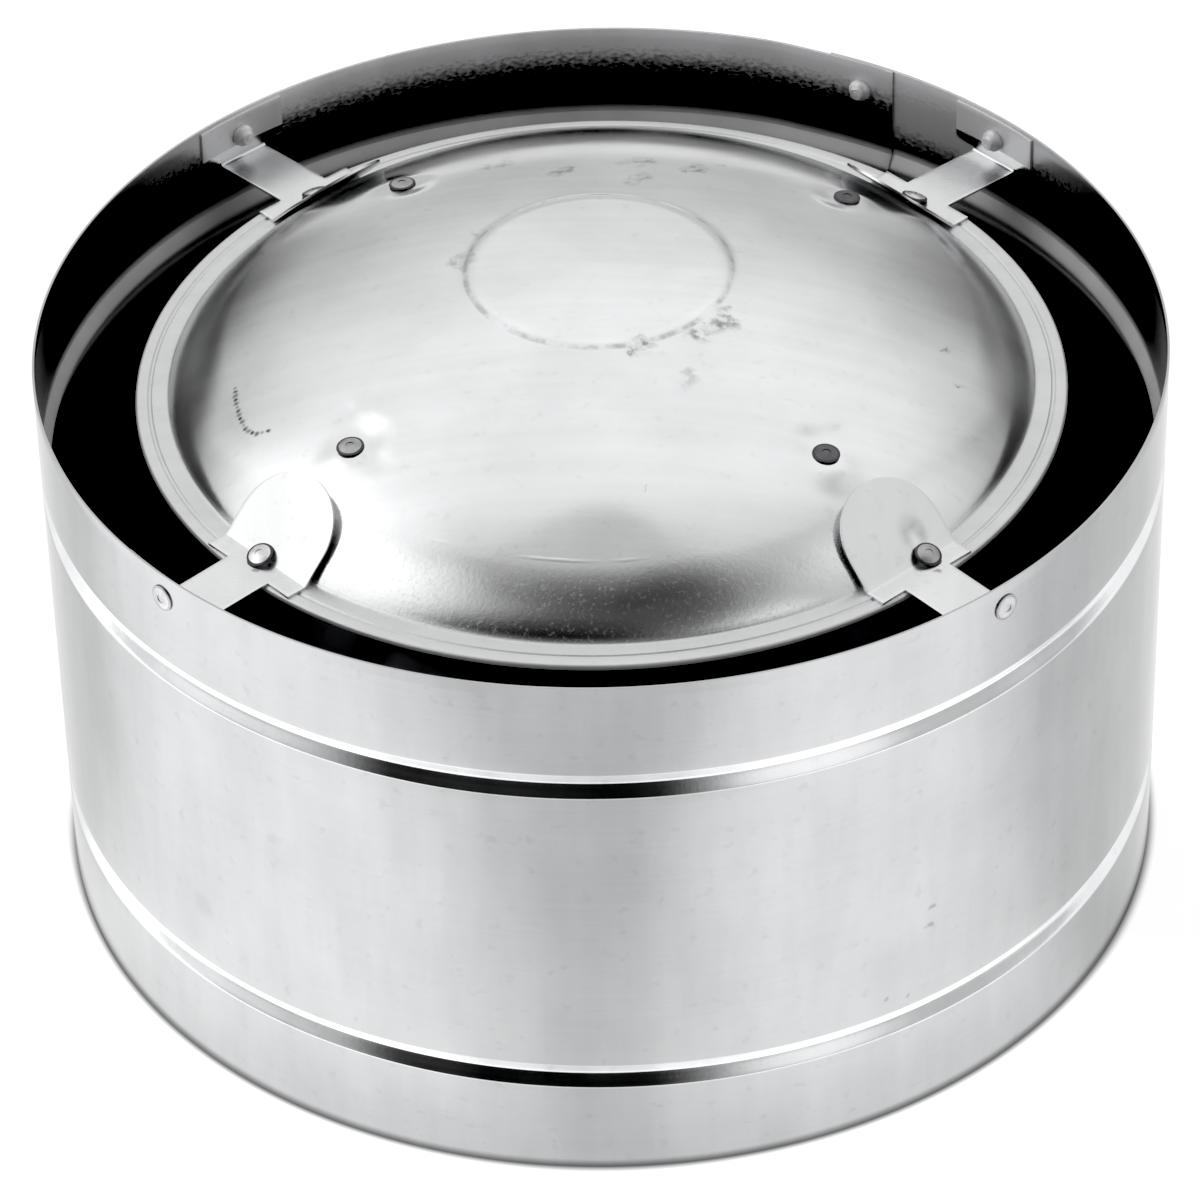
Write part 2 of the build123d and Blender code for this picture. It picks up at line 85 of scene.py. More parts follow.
def place_camera():
    """Aim a long lens at the cap's axis, a little below the shell's middle, and roll it slightly."""
    across = Vector((-sin(CAMERA_TURN), cos(CAMERA_TURN), 0))
    place = Vector((cos(CAMERA_TURN), sin(CAMERA_TURN), 0)) * CAMERA_REACH + Vector((0, 0, CAMERA_HEIGHT))
    aim = across * AIM_ACROSS + Vector((0, 0, AIM_HEIGHT))
    bpy.ops.object.camera_add(location=place)
    camera = bpy.context.object
    camera.rotation_mode = "QUATERNION"
    roll = Matrix.Rotation(CAMERA_ROLL, 3, "Z").to_quaternion()
    camera.rotation_quaternion = (aim - place).to_track_quat("-Z", "Y") @ roll
    camera.data.lens = LENS_MM
    camera.data.sensor_width = SENSOR_MM
    camera.data.clip_start = NEAREST
    camera.data.clip_end = FARTHEST
    bpy.context.scene.camera = camera
    return camera


camera = place_camera()
print("camera at, mm:", [round(x / MM) for x in camera.location])

# %% [markdown]
# Bare metal shows its surroundings more than itself, so the studio matters as much as the
# material. A material, a floor and a sky are all drawn with nodes, and a few helpers keep that
# short: one adds a node, one does sums, and one makes the soft step that blends two values.

# %% Helpers for nodes


def node(tree, kind, sockets=None, **settings):
    """Add a node. Each socket gets a plain value, or the output that is linked to it."""
    made = tree.nodes.new(kind)
    for key, value in settings.items():
        setattr(made, key, value)
    for key, value in (sockets or {}).items():
        if isinstance(value, bpy.types.NodeSocket):
            tree.links.new(value, made.inputs[key])
        else:
            made.inputs[key].default_value = value
    return made


def calc(tree, operation, first, second=0.0):
    return node(tree, "ShaderNodeMath", {0: first, 1: second}, operation=operation).outputs[0]


def times(tree, first, *others):
    """The product of several values."""
    for other in others:
        first = calc(tree, "MULTIPLY", first, other)
    return first


def fade(tree, value, low, high, start=0.0, end=1.0):
    """A soft step: start below low, end above high."""
    sockets = {"Value": value, "From Min": low, "From Max": high, "To Min": start, "To Max": end}
    return node(tree, "ShaderNodeMapRange", sockets, interpolation_type="SMOOTHSTEP").outputs[0]


def object_place(tree):
    """The point being shaded, measured from the cap's origin."""
    return node(tree, "ShaderNodeTexCoord").outputs["Object"]


def split_place(tree, place):
    return node(tree, "ShaderNodeSeparateXYZ", {0: place}).outputs


# %% [markdown]
# The wall mirrors the floor, so a plain white floor is what makes it bright. Lamps could light it,
# but a floor that glows by itself is equally white everywhere. Two brighter pools of glow give the
# wall its broad light bands. Right under the cap the floor doesn't glow, and that leaves the thin
# dark line where the shell touches down.

# %% Floor
FLOOR_SIZE = 24.0
FLOOR_DROP = 0.2 * MM
FLOOR_GREY = 0.1
FLOOR_GLOW = 0.93
CONTACT_START = SHELL_RADIUS - 1 * MM
CONTACT_END = SHELL_RADIUS + 2.5 * MM
DRIFT_END = 200 * MM
POOLS = (
    # turn at the wall, how it drifts per metre of radius, half width and brightness added
    (radians(-128), -2.3, radians(48), 0.66),
    (radians(-58), 1.5, radians(38), 0.54),
)


def floor_glow(tree):
    """How brightly the floor glows at each place."""
    place = object_place(tree)
    split = split_place(tree, place)
    radius = node(tree, "ShaderNodeVectorMath", {0: place}, operation="LENGTH").outputs["Value"]
    turn = calc(tree, "ARCTAN2", split["Y"], split["X"])
    past_wall = calc(tree, "MINIMUM", calc(tree, "SUBTRACT", radius, SHELL_RADIUS), DRIFT_END)
    glow = FLOOR_GLOW
    for start, drift, half, strength in POOLS:
        middle = calc(tree, "ADD", calc(tree, "MULTIPLY", past_wall, drift), start)
        toward = calc(tree, "COSINE", calc(tree, "SUBTRACT", turn, middle))
        glow = calc(tree, "ADD", fade(tree, toward, cos(half), 1.0, 0.0, strength), glow)
    return calc(tree, "MULTIPLY", glow, fade(tree, radius, CONTACT_START, CONTACT_END))


def make_floor():
    """A white floor with two brighter pools of light and no glow under the cap."""
    bpy.ops.object.select_all(action="DESELECT")
    bpy.ops.mesh.primitive_plane_add(size=FLOOR_SIZE, location=(0, 0, -FLOOR_DROP))
    floor = bpy.context.object
    floor.name = "studio_floor"
    material = bpy.data.materials.new("floor_white")
    material.use_nodes = True
    tree = material.node_tree
    shader = tree.nodes["Principled BSDF"]
    shader.inputs["Base Color"].default_value = (FLOOR_GREY, FLOOR_GREY, FLOOR_GREY, 1)
    shader.inputs["Roughness"].default_value = 0.9
    shader.inputs["Emission Color"].default_value = (1, 1, 1, 1)
    tree.links.new(floor_glow(tree), shader.inputs["Emission Strength"])
    floor.data.materials.append(material)
    return floor


floor = make_floor()
print(floor.name, "spans, m:", [round(x, 2) for x in floor.dimensions])

# %% [markdown]
# The sky is what the upper surfaces mirror. Real softboxes and black flags could stand round the
# cap, but drawn on the world each is moved by two angles and can't get into the picture. Every
# softbox and every dark patch is a cone about a direction. The patch above the camera makes the
# dark band on the dome's front shoulder, and the low, nearly black one beneath it makes the black
# line in each bead.

# %% Sky
SKY_LEVEL = 0.711
SOFTBOXES = (
    # turn, rise, inner and outer angle in degrees, and the brightness added
    (-176, 34.5, 0, 38.7, 1.17),
    (96, 56, 31.6, 41.7, 0.25),
    (96, 34, 45.8, 53.1, 0.24),
    (6, 32.7, 0, 31.4, 0.46),
    (-47, 24, 6.8, 21.5, 0.60),
)
DARK_PATCHES = (
    # turn, rise, inner and outer angle in degrees, and what is left of the light
    (-77.3, 57.4, 0, 33.4, 0.156),
    (-93.4, 76.6, 17.3, 21.3, 0.78),
    (-103, 18, 23, 39, 0.039),
    (132, -3, 14.8, 25.9, 0.137),
    (55, 0.6, 11.8, 24.9, 0.357),
)
HORIZON_LOW = 23.9
HORIZON_HIGH = 50.8
HORIZON_LEFT = 0.79


def aimed(turn, rise):
    """Direction with a turn about Z and a rise above the horizon, both in degrees."""
    level = cos(radians(rise))
    return (cos(radians(turn)) * level, sin(radians(turn)) * level, sin(radians(rise)))


def make_world():
    """A grey sky with brighter softboxes, darker patches and a slightly dimmer horizon."""
    world = bpy.data.worlds.new("studio_sky")
    world.use_nodes = True
    bpy.context.scene.world = world
    tree = world.node_tree
    place = node(tree, "ShaderNodeTexCoord").outputs["Generated"]

    def cone(turn, rise, inner, outer, start, end):
        sockets = {0: place, 1: aimed(turn, rise)}
        toward = node(tree, "ShaderNodeVectorMath", sockets, operation="DOT_PRODUCT").outputs["Value"]
        return fade(tree, toward, cos(radians(outer)), cos(radians(inner)), start, end)

    sky = SKY_LEVEL
    for turn, rise, inner, outer, brightness in SOFTBOXES:
        sky = calc(tree, "ADD", cone(turn, rise, inner, outer, 0.0, brightness), sky)
    for turn, rise, inner, outer, left in DARK_PATCHES:
        sky = calc(tree, "MULTIPLY", sky, cone(turn, rise, inner, outer, 1.0, left))
    level = split_place(tree, place)["Z"]
    horizon = fade(tree, level, sin(radians(HORIZON_LOW)), sin(radians(HORIZON_HIGH)), HORIZON_LEFT, 1.0)
    sky = calc(tree, "MULTIPLY", sky, horizon)
    tree.links.new(sky, tree.nodes["Background"].inputs["Color"])
    return world


world = make_world()
print(world.name, "has", len(SOFTBOXES), "softboxes and", len(DARK_PATCHES), "dark patches")

# %% [markdown]
# The picture has hard contrast: the gap round the dome is plain black. A darker sky would take the
# shine off the metal too, so the black point is raised in the view settings instead, as in a photo
# editor, and the plain view keeps all other tones as they are lit.

# %% Tones of the picture
BLACK_POINT = 0.018
view = bpy.context.scene.view_settings
view.view_transform = "Standard"
view.use_curve_mapping = True
view.curve_mapping.black_level = (BLACK_POINT, BLACK_POINT, BLACK_POINT)
view.curve_mapping.update()
print("view:", view.view_transform, "black point:", BLACK_POINT)

# %% [markdown]
# Galvanised sheet is a mirror that has been rubbed dull. What the eye reads as metal is a bright,
# fairly rough reflection, broken by three things: fine grain from the rolling mill, cloudy patches
# in the zinc, and scuffs. Each is a noise texture at its own scale. The grain is stretched along
# the rolling direction and drives the bump, and the clouds move the roughness and the colour.

# %% Helpers for finishes
EDGE_TINT = 0.92
NOISE_ROUGHNESS = 0.55
EVEN = (1, 1, 1)
# stretches of a noise's range: nearly all of it, its middle, and its few lowest values
SWING = (0.3, 0.7)
MIDDLE = (0.35, 0.65)
PIN_PRICKS = (0.28, 0.42)


def new_metal(name, colour, roughness, metallic=1.0):
    material = bpy.data.materials.new(name)
    material.use_nodes = True
    shader = material.node_tree.nodes["Principled BSDF"]
    shader.inputs["Metallic"].default_value = metallic
    shader.inputs["Base Color"].default_value = (*colour, 1)
    shader.inputs["Roughness"].default_value = roughness
    shader.inputs["Specular Tint"].default_value = (EDGE_TINT, EDGE_TINT, EDGE_TINT, 1)
    return material, material.node_tree, shader


def noise(tree, place, scale, stretch=EVEN, detail=3.0):
    """Noise of a scale per metre, drawn out along an axis by a smaller stretch there."""
    spread = node(tree, "ShaderNodeMapping", {"Vector": place, "Scale": stretch}, vector_type="POINT")
    sockets = {"Vector": spread.outputs[0], "Scale": scale, "Detail": detail, "Roughness": NOISE_ROUGHNESS}
    return node(tree, "ShaderNodeTexNoise", sockets).outputs["Fac"]


def vary(tree, pattern, low, high, edges=SWING):
    """Let a noise move a value between two limits. Nearly all of a noise lies within the swing."""
    return fade(tree, pattern, *edges, low, high)


def tint(tree, shader, colour, shade):
    """Multiply a plain colour by a grey shade and plug it in as the base colour."""
    grey = node(tree, "ShaderNodeCombineColor", {0: shade, 1: shade, 2: shade}).outputs[0]
    sockets = {"Factor": 1.0, 6: (*colour, 1), 7: grey}
    mixed = node(tree, "ShaderNodeMix", sockets, data_type="RGBA", blend_type="MULTIPLY")
    tree.links.new(mixed.outputs[2], shader.inputs["Base Color"])


def roughen(tree, shader, *layers):
    """Stack bumps. Each layer is a height and how far it stands out, in metres."""
    normal = None
    for height, distance in layers:
        sockets = {"Height": height, "Distance": distance, "Strength": 1.0}
        if normal is not None:
            sockets["Normal"] = normal
        normal = node(tree, "ShaderNodeBump", sockets).outputs[0]
    tree.links.new(normal, shader.inputs["Normal"])


# %% [markdown]
# The cap has been handled: there are water stains, smears and small scuffs on it, and each is where
# it is. They could be painted on an image, but an image has to be stored beside the script. So each
# is a soft round spot about a place, and noise pushes the places about until the spots look ragged.

# %% Stains and scuffs
SPOT_CORE = 0.2


def stain(tree, place, x, y, z, reach, strength):
    """A soft round spot at a place in mm."""
    sockets = {0: place, 1: (x * MM, y * MM, z * MM)}
    away = node(tree, "ShaderNodeVectorMath", sockets, operation="DISTANCE").outputs["Value"]
    return fade(tree, away, SPOT_CORE * reach * MM, reach * MM, strength, 0.0)


def stains(tree, place, spots):
    """The darkest of many spots at each point."""
    dirt_and_shade = 0.0
    for spot in spots:
        dirt_and_shade = calc(tree, "MAXIMUM", stain(tree, place, *spot), dirt_and_shade)
    return dirt_and_shade


def wobbled(tree, place, scale, amount):
    """The place pushed about by noise, so that round spots come out ragged."""
    push = fade(tree, noise(tree, place, scale, EVEN, 8), 0.0, 1.0, -amount, amount)
    shift = node(tree, "ShaderNodeCombineXYZ", {0: push, 1: push, 2: 0.0}).outputs[0]
    return node(tree, "ShaderNodeVectorMath", {0: place, 1: shift}, operation="ADD").outputs[0]


# %% [markdown]
# The shell's wall and the flat strip are the same mill sheet. On the flat strip the grain runs
# across the object, but on the wall it has to run round it, so the wall's pattern is read from a
# place that is unrolled: the arc length and the height. The unrolled sheet has a cut, and it lies
# at the lapped seam, where the real sheet ends too. The wall's colour is darker towards its foot,
# which is painted shade, and lighter in the beads, which is a painted highlight.

# %% Galvanised sheet, rolled and flat
SEAM_TURN = radians(59)
BEAD_INSET = 28.0 * MM
BEAD_WIDTH = 6.6 * MM
BEAD_LEVELS = (BEAD_INSET, SHELL_HEIGHT - BEAD_INSET)
# painted highlight in the beads and painted shade towards the wall's foot, both factors on the colour
BEAD_PAINTED_HIGHLIGHT = 1.85
FOOT_PAINTED_SHADE = 0.84
FOOT_TALL = 34 * MM
SHELL_SPOTS = (
    # across, back, height, reach in mm and how dark
    (78.5, -107.8, 53.3, 1.2, 0.30),
    (79.6, -107.0, 58.6, 1.0, 0.30),
    (68.4, -114.5, 36.1, 1.0, 0.25),
    (74.2, -110.8, 34.5, 1.0, 0.25),
    (-90.0, -98.4, 48.4, 5.0, 0.10),
)
# painted shade: a dark dot on each front strap stands for the shade in a small hole
STRAP_HOLE_SHADES = (
    (-75.3, -77.3, 130.3, 1.3, 0.5),
    (79.5, -74.5, 130.3, 1.3, 0.5),
)


def rolled_place(tree):
    """Place on the unrolled wall: arc length and height. It is cut at the lapped seam."""
    sockets = {"Vector": object_place(tree), "Rotation": (0, 0, pi - SEAM_TURN)}
    turned = split_place(tree, node(tree, "ShaderNodeMapping", sockets, vector_type="POINT").outputs[0])
    arc_length = calc(tree, "MULTIPLY", calc(tree, "ARCTAN2", turned["Y"], turned["X"]), SHELL_RADIUS)
    return node(tree, "ShaderNodeCombineXYZ", {0: arc_length, 1: turned["Z"], 2: 0.0}).outputs[0]


def foot_shade_and_bead_highlight(tree, height):
    """How bright the wall's colour is at each height: painted shade at the foot, a painted highlight in the
    beads.
    """
    shade = fade(tree, height, 0.0, FOOT_TALL, FOOT_PAINTED_SHADE, 1.0)
    for level in BEAD_LEVELS:
        away = calc(tree, "ABSOLUTE", calc(tree, "SUBTRACT", height, level))
        shade = times(tree, shade, fade(tree, away, 0.44 * BEAD_WIDTH, 0.56 * BEAD_WIDTH, BEAD_PAINTED_HIGHLIGHT, 1.0))
    return shade


def sheet_finish(name, colour, roughness, rolled, spots=(), metallic=1.0):
    """Drawn grain, zinc clouds and fine pitting over a satin metal, and on the wall painted shade at the
    foot and a painted highlight in the beads.
    """
    material, tree, shader = new_metal(name, colour, roughness, metallic)
    solid_place = object_place(tree)
    place = rolled_place(tree) if rolled else solid_place
    lines = noise(tree, place, 60, (0.35, 16, 16), 4)
    upright = noise(tree, place, 30, (3, 0.5, 1), 4)
    clouds = noise(tree, place, 28, EVEN, 5)
    specks = noise(tree, place, 240, EVEN, 6)
    pits = noise(tree, place, 900, EVEN, 2)
    swells = noise(tree, place, 13, EVEN, 1)
    shade = calc(tree, "ADD", vary(tree, lines, 0.0, 0.02), vary(tree, clouds, 0.92, 1.0))
    shade = times(tree, shade, vary(tree, upright, 0.96, 1.03), vary(tree, specks, 0.93, 1.0, PIN_PRICKS))
    if rolled:
        # painted shade at the wall's foot and a painted highlight in the beads
        shade = times(tree, shade, foot_shade_and_bead_highlight(tree, split_place(tree, solid_place)["Z"]))
    if spots:
        dirt_and_shade = stains(tree, wobbled(tree, solid_place, 150, 2 * MM), spots)
        shade = times(tree, shade, calc(tree, "SUBTRACT", 1.0, dirt_and_shade))
    tint(tree, shader, colour, shade)
    rough = calc(tree, "ADD", vary(tree, clouds, -0.03, 0.03, MIDDLE), vary(tree, lines, 0.0, 0.03))
    tree.links.new(calc(tree, "ADD", rough, roughness), shader.inputs["Roughness"])
    roughen(tree, shader, (lines, 0.006 * MM), (pits, 0.008 * MM), (swells, 0.12 * MM))
    print("finish", name, "of", len(tree.nodes), "nodes")
    return material


shell_finish = sheet_finish("galvanised_shell", (0.475, 0.48, 0.485), 0.12, True, SHELL_SPOTS)
strip_finish = sheet_finish("galvanised_strip", (0.70, 0.705, 0.71), 0.24, False, STRAP_HOLE_SHADES)
# painted light: the bracket flanges get a lighter, less metallic copy of the strip's finish
lit_flange_finish = sheet_finish("galvanised_flange_painted_light", (0.85, 0.85, 0.86), 0.40, False, metallic=0.3)
# painted shade: the sheet deep inside the cap is given a nearly black colour
shaded_inner_finish = sheet_finish("galvanised_inner_painted_shade", (0.07, 0.07, 0.072), 0.32, True)

# %% [markdown]
# Inside, the shell mirrors the black gap, and its colour is painted dark as well, which is painted
# shade. Painted light comes down from its top edge at the rear, with a ragged lower end, and more of
# it lies beside the lap and on the bead's ridge. A second material on the inner faces carries this:
# where the painted light is, it turns lighter, rougher and less of a mirror.

# %% Galvanised sheet inside the shell, with painted light and shade
# painted light at the top of the inner wall, strongest at the rear
TOP_LIGHT_LOW = SHELL_HEIGHT - 15.5 * MM
TOP_LIGHT_HIGH = SHELL_HEIGHT - 3 * MM
TOP_LIGHT_RAGGED = 2.6 * MM
TOP_LIGHT_AT_SIDES = 0.15
# painted highlight on the ridge of the upper bead inside, reaching lower at the rear
RIDGE_LOW = SHELL_HEIGHT - 33 * MM
RIDGE_HIGH = SHELL_HEIGHT - 23 * MM
RIDGE_EDGE = 2 * MM
RIDGE_REAR_LOW = SHELL_HEIGHT - 48 * MM
# painted light beside the lap
LAP_LOW = SHELL_HEIGHT - 24 * MM
LAP_HIGH = SHELL_HEIGHT - 15 * MM
LAP_LIGHT = 0.75
# how far back the painted light at the top and the lower ridge start, and where they are full
TOP_LIGHT_BACK = (0.35 * SHELL_RADIUS, 0.9 * SHELL_RADIUS)
RIDGE_BACK = (0.75 * SHELL_RADIUS, 0.9 * SHELL_RADIUS)
# arc length on the unrolled wall, which ends at pi times the radius, at the lap's edge
LAP_BAND = (2.84 * SHELL_RADIUS, 2.92 * SHELL_RADIUS)
# shade, metal and roughness in bare zinc and in full painted light
INSIDE_SHADE = (0.20, 1.42)
INSIDE_METAL = (1.0, 0.3)
INSIDE_ROUGH = (0.2, 0.5)


def inside_painted_light(tree, unrolled, specks):
    """Where painted light falls on the inner wall, from 0 in bare zinc to 1 in full painted light."""
    around, level = unrolled["X"], unrolled["Y"]
    back = split_place(tree, object_place(tree))["Y"]
    ragged = calc(tree, "ADD", level, fade(tree, specks, 0.2, 0.8, -TOP_LIGHT_RAGGED, TOP_LIGHT_RAGGED))
    rear = fade(tree, back, *TOP_LIGHT_BACK, TOP_LIGHT_AT_SIDES, 1.0)
    top_light = times(tree, fade(tree, ragged, TOP_LIGHT_LOW, TOP_LIGHT_HIGH), rear)
    behind = fade(tree, back, *RIDGE_BACK)
    lowered = calc(tree, "ADD", level, times(tree, behind, RIDGE_LOW - RIDGE_REAR_LOW))
    rise = fade(tree, lowered, RIDGE_LOW - RIDGE_EDGE, RIDGE_LOW + RIDGE_EDGE)
    fall = fade(tree, level, RIDGE_HIGH - RIDGE_EDGE, RIDGE_HIGH + RIDGE_EDGE, 1.0, 0.0)
    beside_lap = fade(tree, around, *LAP_BAND, 0.0, LAP_LIGHT)
    beside_lap = times(tree, beside_lap, fade(tree, ragged, LAP_LOW, LAP_HIGH))
    light = calc(tree, "MAXIMUM", top_light, times(tree, rise, fall))
    return calc(tree, "MAXIMUM", light, beside_lap)


def shaded_inside_finish():
    """Zinc painted dark, which is painted shade, with painted light at the top edge at the rear, beside the
    lap and on the ridge.
    """
    colour = (0.62, 0.62, 0.63)
    material, tree, shader = new_metal("galvanised_inside_painted_light_and_shade", colour, 0.2)
    unrolled = rolled_place(tree)
    specks = noise(tree, unrolled, 1100, (0.6, 1, 1), 8)
    streaks = noise(tree, unrolled, 40, (1, 0.25, 1), 3)
    light = inside_painted_light(tree, split_place(tree, unrolled), specks)
    shade = times(tree, fade(tree, light, 0.0, 1.0, *INSIDE_SHADE), vary(tree, streaks, 0.88, 1.04))
    tint(tree, shader, colour, shade)
    tree.links.new(fade(tree, light, 0.0, 1.0, *INSIDE_METAL), shader.inputs["Metallic"])
    tree.links.new(fade(tree, light, 0.0, 1.0, *INSIDE_ROUGH), shader.inputs["Roughness"])
    roughen(tree, shader, (specks, 0.01 * MM))
    print("finish", material.name, "of", len(tree.nodes), "nodes")
    return material


shadow_finish = shaded_inside_finish()

# %% [markdown]
# Three small habits keep the modelling simple. Everything is deselected before anything is added.
# A section is drawn the way it would be by hand, from one point that is extruded again and again,
# and then spun. And parts of a mesh are picked by where they are, not by number.

# %% Helpers for drawing a section


def add_point(name, place):
    """A new mesh of one selected point, in edit mode."""
    bpy.ops.object.select_all(action="DESELECT")
    bpy.ops.mesh.primitive_plane_add(size=MM)
    piece = bpy.context.object
    piece.name = name
    bpy.ops.object.mode_set(mode="EDIT")
    bpy.ops.mesh.merge(type="CENTER")
    bpy.ops.transform.translate(value=place)
    return piece


def extrude_by(move):
    bpy.ops.mesh.extrude_region_move(TRANSFORM_OT_translate={"value": move})


def draw_section(name, points):
    """Extrude one point along a list of (radius, height) in the XZ plane, and select all of it."""
    piece = add_point(name, (points[0][0], 0, points[0][1]))
    for (r0, z0), (r1, z1) in zip(points, points[1:]):
        extrude_by((r1 - r0, 0, z1 - z0))
    bpy.ops.mesh.select_all(action="SELECT")
    return piece


def turn_about(angle, steps, centre=(0, 0, 0)):
    """Spin what is selected anticlockwise about an upright axis. The far end stays selected."""
    bpy.ops.mesh.spin(steps=steps, angle=-angle, center=centre, axis=(0, 0, 1))


def arc(centre, radius, start, end, steps):
    """Points on an arc in the section plane, with angles in radians from the radial direction."""
    turns = [start + (end - start) * i / steps for i in range(steps + 1)]
    return [(centre[0] + radius * cos(t), centre[1] + radius * sin(t)) for t in turns]


def steps_between(start, end, count):
    """Evenly spaced points on a straight stretch, without its two ends."""
    return [
        (start[0] + (end[0] - start[0]) * i / count, start[1] + (end[1] - start[1]) * i / count)
        for i in range(1, count)
    ]


# %% Helpers for the sheet's wall and the hand-over
EDGE_BEVEL = 0.1 * MM
BEVELLED_FROM = radians(60)
SMOOTH_UP_TO = radians(35)


def choose(piece):
    """Select one object and nothing else."""
    bpy.ops.object.select_all(action="DESELECT")
    bpy.context.view_layer.objects.active = piece
    piece.select_set(True)


def thicken(piece, thickness, offset):
    """Give a single skin the sheet's thickness, take the bite off its edges and shade it smooth."""
    wall = piece.modifiers.new("wall", "SOLIDIFY")
    wall.thickness = thickness
    wall.offset = offset
    wall.use_even_offset = True
    edge = piece.modifiers.new("edge", "BEVEL")
    edge.width = EDGE_BEVEL
    edge.segments = 2
    edge.limit_method = "ANGLE"
    edge.angle_limit = BEVELLED_FROM
    choose(piece)
    for modifier in list(piece.modifiers):
        bpy.ops.object.modifier_apply(modifier=modifier.name)
    bpy.ops.object.shade_smooth_by_angle(angle=SMOOTH_UP_TO)


def place_piece(piece, material, slot, *nodes):
    """Hand a finished piece over: its finish, its body and the plain nodes it stands for."""
    piece.data.materials.clear()
    piece.data.materials.append(material)
    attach(piece, "root")
    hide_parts(*nodes)
    triangles = sum(len(p.vertices) - 2 for p in piece.data.polygons)
    print(piece.name, "triangles:", triangles, "stands for:", ", ".join(nodes))


def finish_where(piece, material, test):
    """Give a second finish to the faces whose middle and normal pass a test."""
    piece.data.materials.append(material)
    choose(piece)
    bpy.ops.object.mode_set(mode="EDIT")
    mesh = bmesh.from_edit_mesh(piece.data)
    for face in mesh.faces:
        face.select_set(test(face.calc_center_median(), face.normal))
    bmesh.update_edit_mesh(piece.data)
    piece.active_material_index = len(piece.data.materials) - 1
    bpy.ops.object.material_slot_assign()
    bpy.ops.object.mode_set(mode="OBJECT")


# %% [markdown]
# The shell is one strip rolled into a ring. Its two ends lap, held by a row of rivets, and two
# beads are pressed inwards to stiffen it. A cylinder primitive would close on itself with no seam,
# so the section is drawn once and spun in four stretches, the way the strip itself runs: the inner
# layer of the lap, a short straight run, a slight bend outwards, and then all the way round.

# %% The shell's section
BEAD_DEPTH = 1.9 * MM
BEAD_ROOT = 0.7 * MM
BEAD_EDGE = 0.8 * MM
WALL_STEP = 3 * MM


def bead_points(radius, height):
    """A bead pressed inwards, from below: a rolled edge, a straight flank, the root and back out."""
    lean = atan2(BEAD_DEPTH, BEAD_WIDTH / 2)
    start = BEAD_WIDTH / 2 + BEAD_EDGE * tan(lean / 2)
    below = arc((radius - BEAD_EDGE, height - start), BEAD_EDGE, 0, lean, 3)
    root = arc((radius - BEAD_DEPTH + BEAD_ROOT / cos(lean), height), BEAD_ROOT, pi + lean, pi - lean, 4)
    above = arc((radius - BEAD_EDGE, height + start), BEAD_EDGE, -lean, 0, 3)
    return below + steps_between(below[-1], root[0], 4) + root + steps_between(root[-1], above[0], 4) + above


def rows_up_to(points, top):
    """Evenly spaced points from the last one up to a new one, about one wall step apart."""
    count = max(1, round((top[1] - points[-1][1]) / WALL_STEP))
    return steps_between(points[-1], top, count)


def shell_points(radius):
    """The wall's outer face from its foot to its top edge."""
    points = [(radius, 0.0)]
    for height in BEAD_LEVELS:
        bead = bead_points(radius, height)
        points += rows_up_to(points, bead[0]) + bead
    top = (radius, SHELL_HEIGHT)
    return points + rows_up_to(points, top) + [top]


print("points up the shell's wall:", len(shell_points(SHELL_RADIUS)))

# %% The shell
LAP_WIDTH = 18.0 * MM
LAP_STEP = SHEET + 0.05 * MM
JOGGLE_RADIUS = 70 * MM
LAP_TURNS = 8
BEND_TURNS = 6
ROUND_TURNS = 360
TURNED_AWAY = 0.3


def make_shell():
    """Spin the section through the lap, straight on, out over the lap's start and round to its end."""
    inner = SHELL_RADIUS - LAP_STEP
    lap = LAP_WIDTH / SHELL_RADIUS
    run = sqrt(LAP_STEP * (2 * SHELL_RADIUS - LAP_STEP - 2 * JOGGLE_RADIUS))
    bend = atan2(run, inner - JOGGLE_RADIUS)
    piece = draw_section("shell_wall", shell_points(inner))
    turn_about(lap, LAP_TURNS)
    onwards = Vector((-sin(lap), cos(lap), 0))
    outwards = Vector((cos(lap), sin(lap), 0))
    extrude_by(onwards * run)
    turn_about(bend, BEND_TURNS, outwards * (inner - JOGGLE_RADIUS) + onwards * run)
    turn_about(2 * pi - bend, ROUND_TURNS)
    bpy.ops.mesh.select_all(action="SELECT")
    bpy.ops.mesh.normals_make_consistent(inside=False)
    bpy.ops.object.mode_set(mode="OBJECT")
    piece.rotation_euler.z = SEAM_TURN
    bpy.ops.object.transform_apply(location=True, rotation=True, scale=True)
    return piece


def faces_axis(p, n):
    """True on the inner skin, whose normals point at the cap's axis."""
    return n.x * p.x + n.y * p.y < -TURNED_AWAY * p.xy.length


shell = make_shell()
thicken(shell, SHEET, -1)
place_piece(shell, shell_finish, "shell_sheet", "outer_shell")
finish_where(shell, shadow_finish, faces_axis)
print("shell spans, mm:", [round(x / MM, 2) for x in (*shell.bound_box[0], *shell.bound_box[6])])

# %% [markdown]
# The dome carries most of the wear. Its crown is a satin mirror with stains, dust and a row of
# scratches, the pad is painted a little lighter, with painted shade along its raised edge, and the
# front of the shoulder is stretched by the press into fine pimples with a faint crease. Chalk has
# settled at the foot of the dome. Zinc could be one material with one roughness, but then all of
# this would be lost, so each trace has its own mask, by radius or by how far forward it lies, and
# the masks move colour, roughness and bump together.

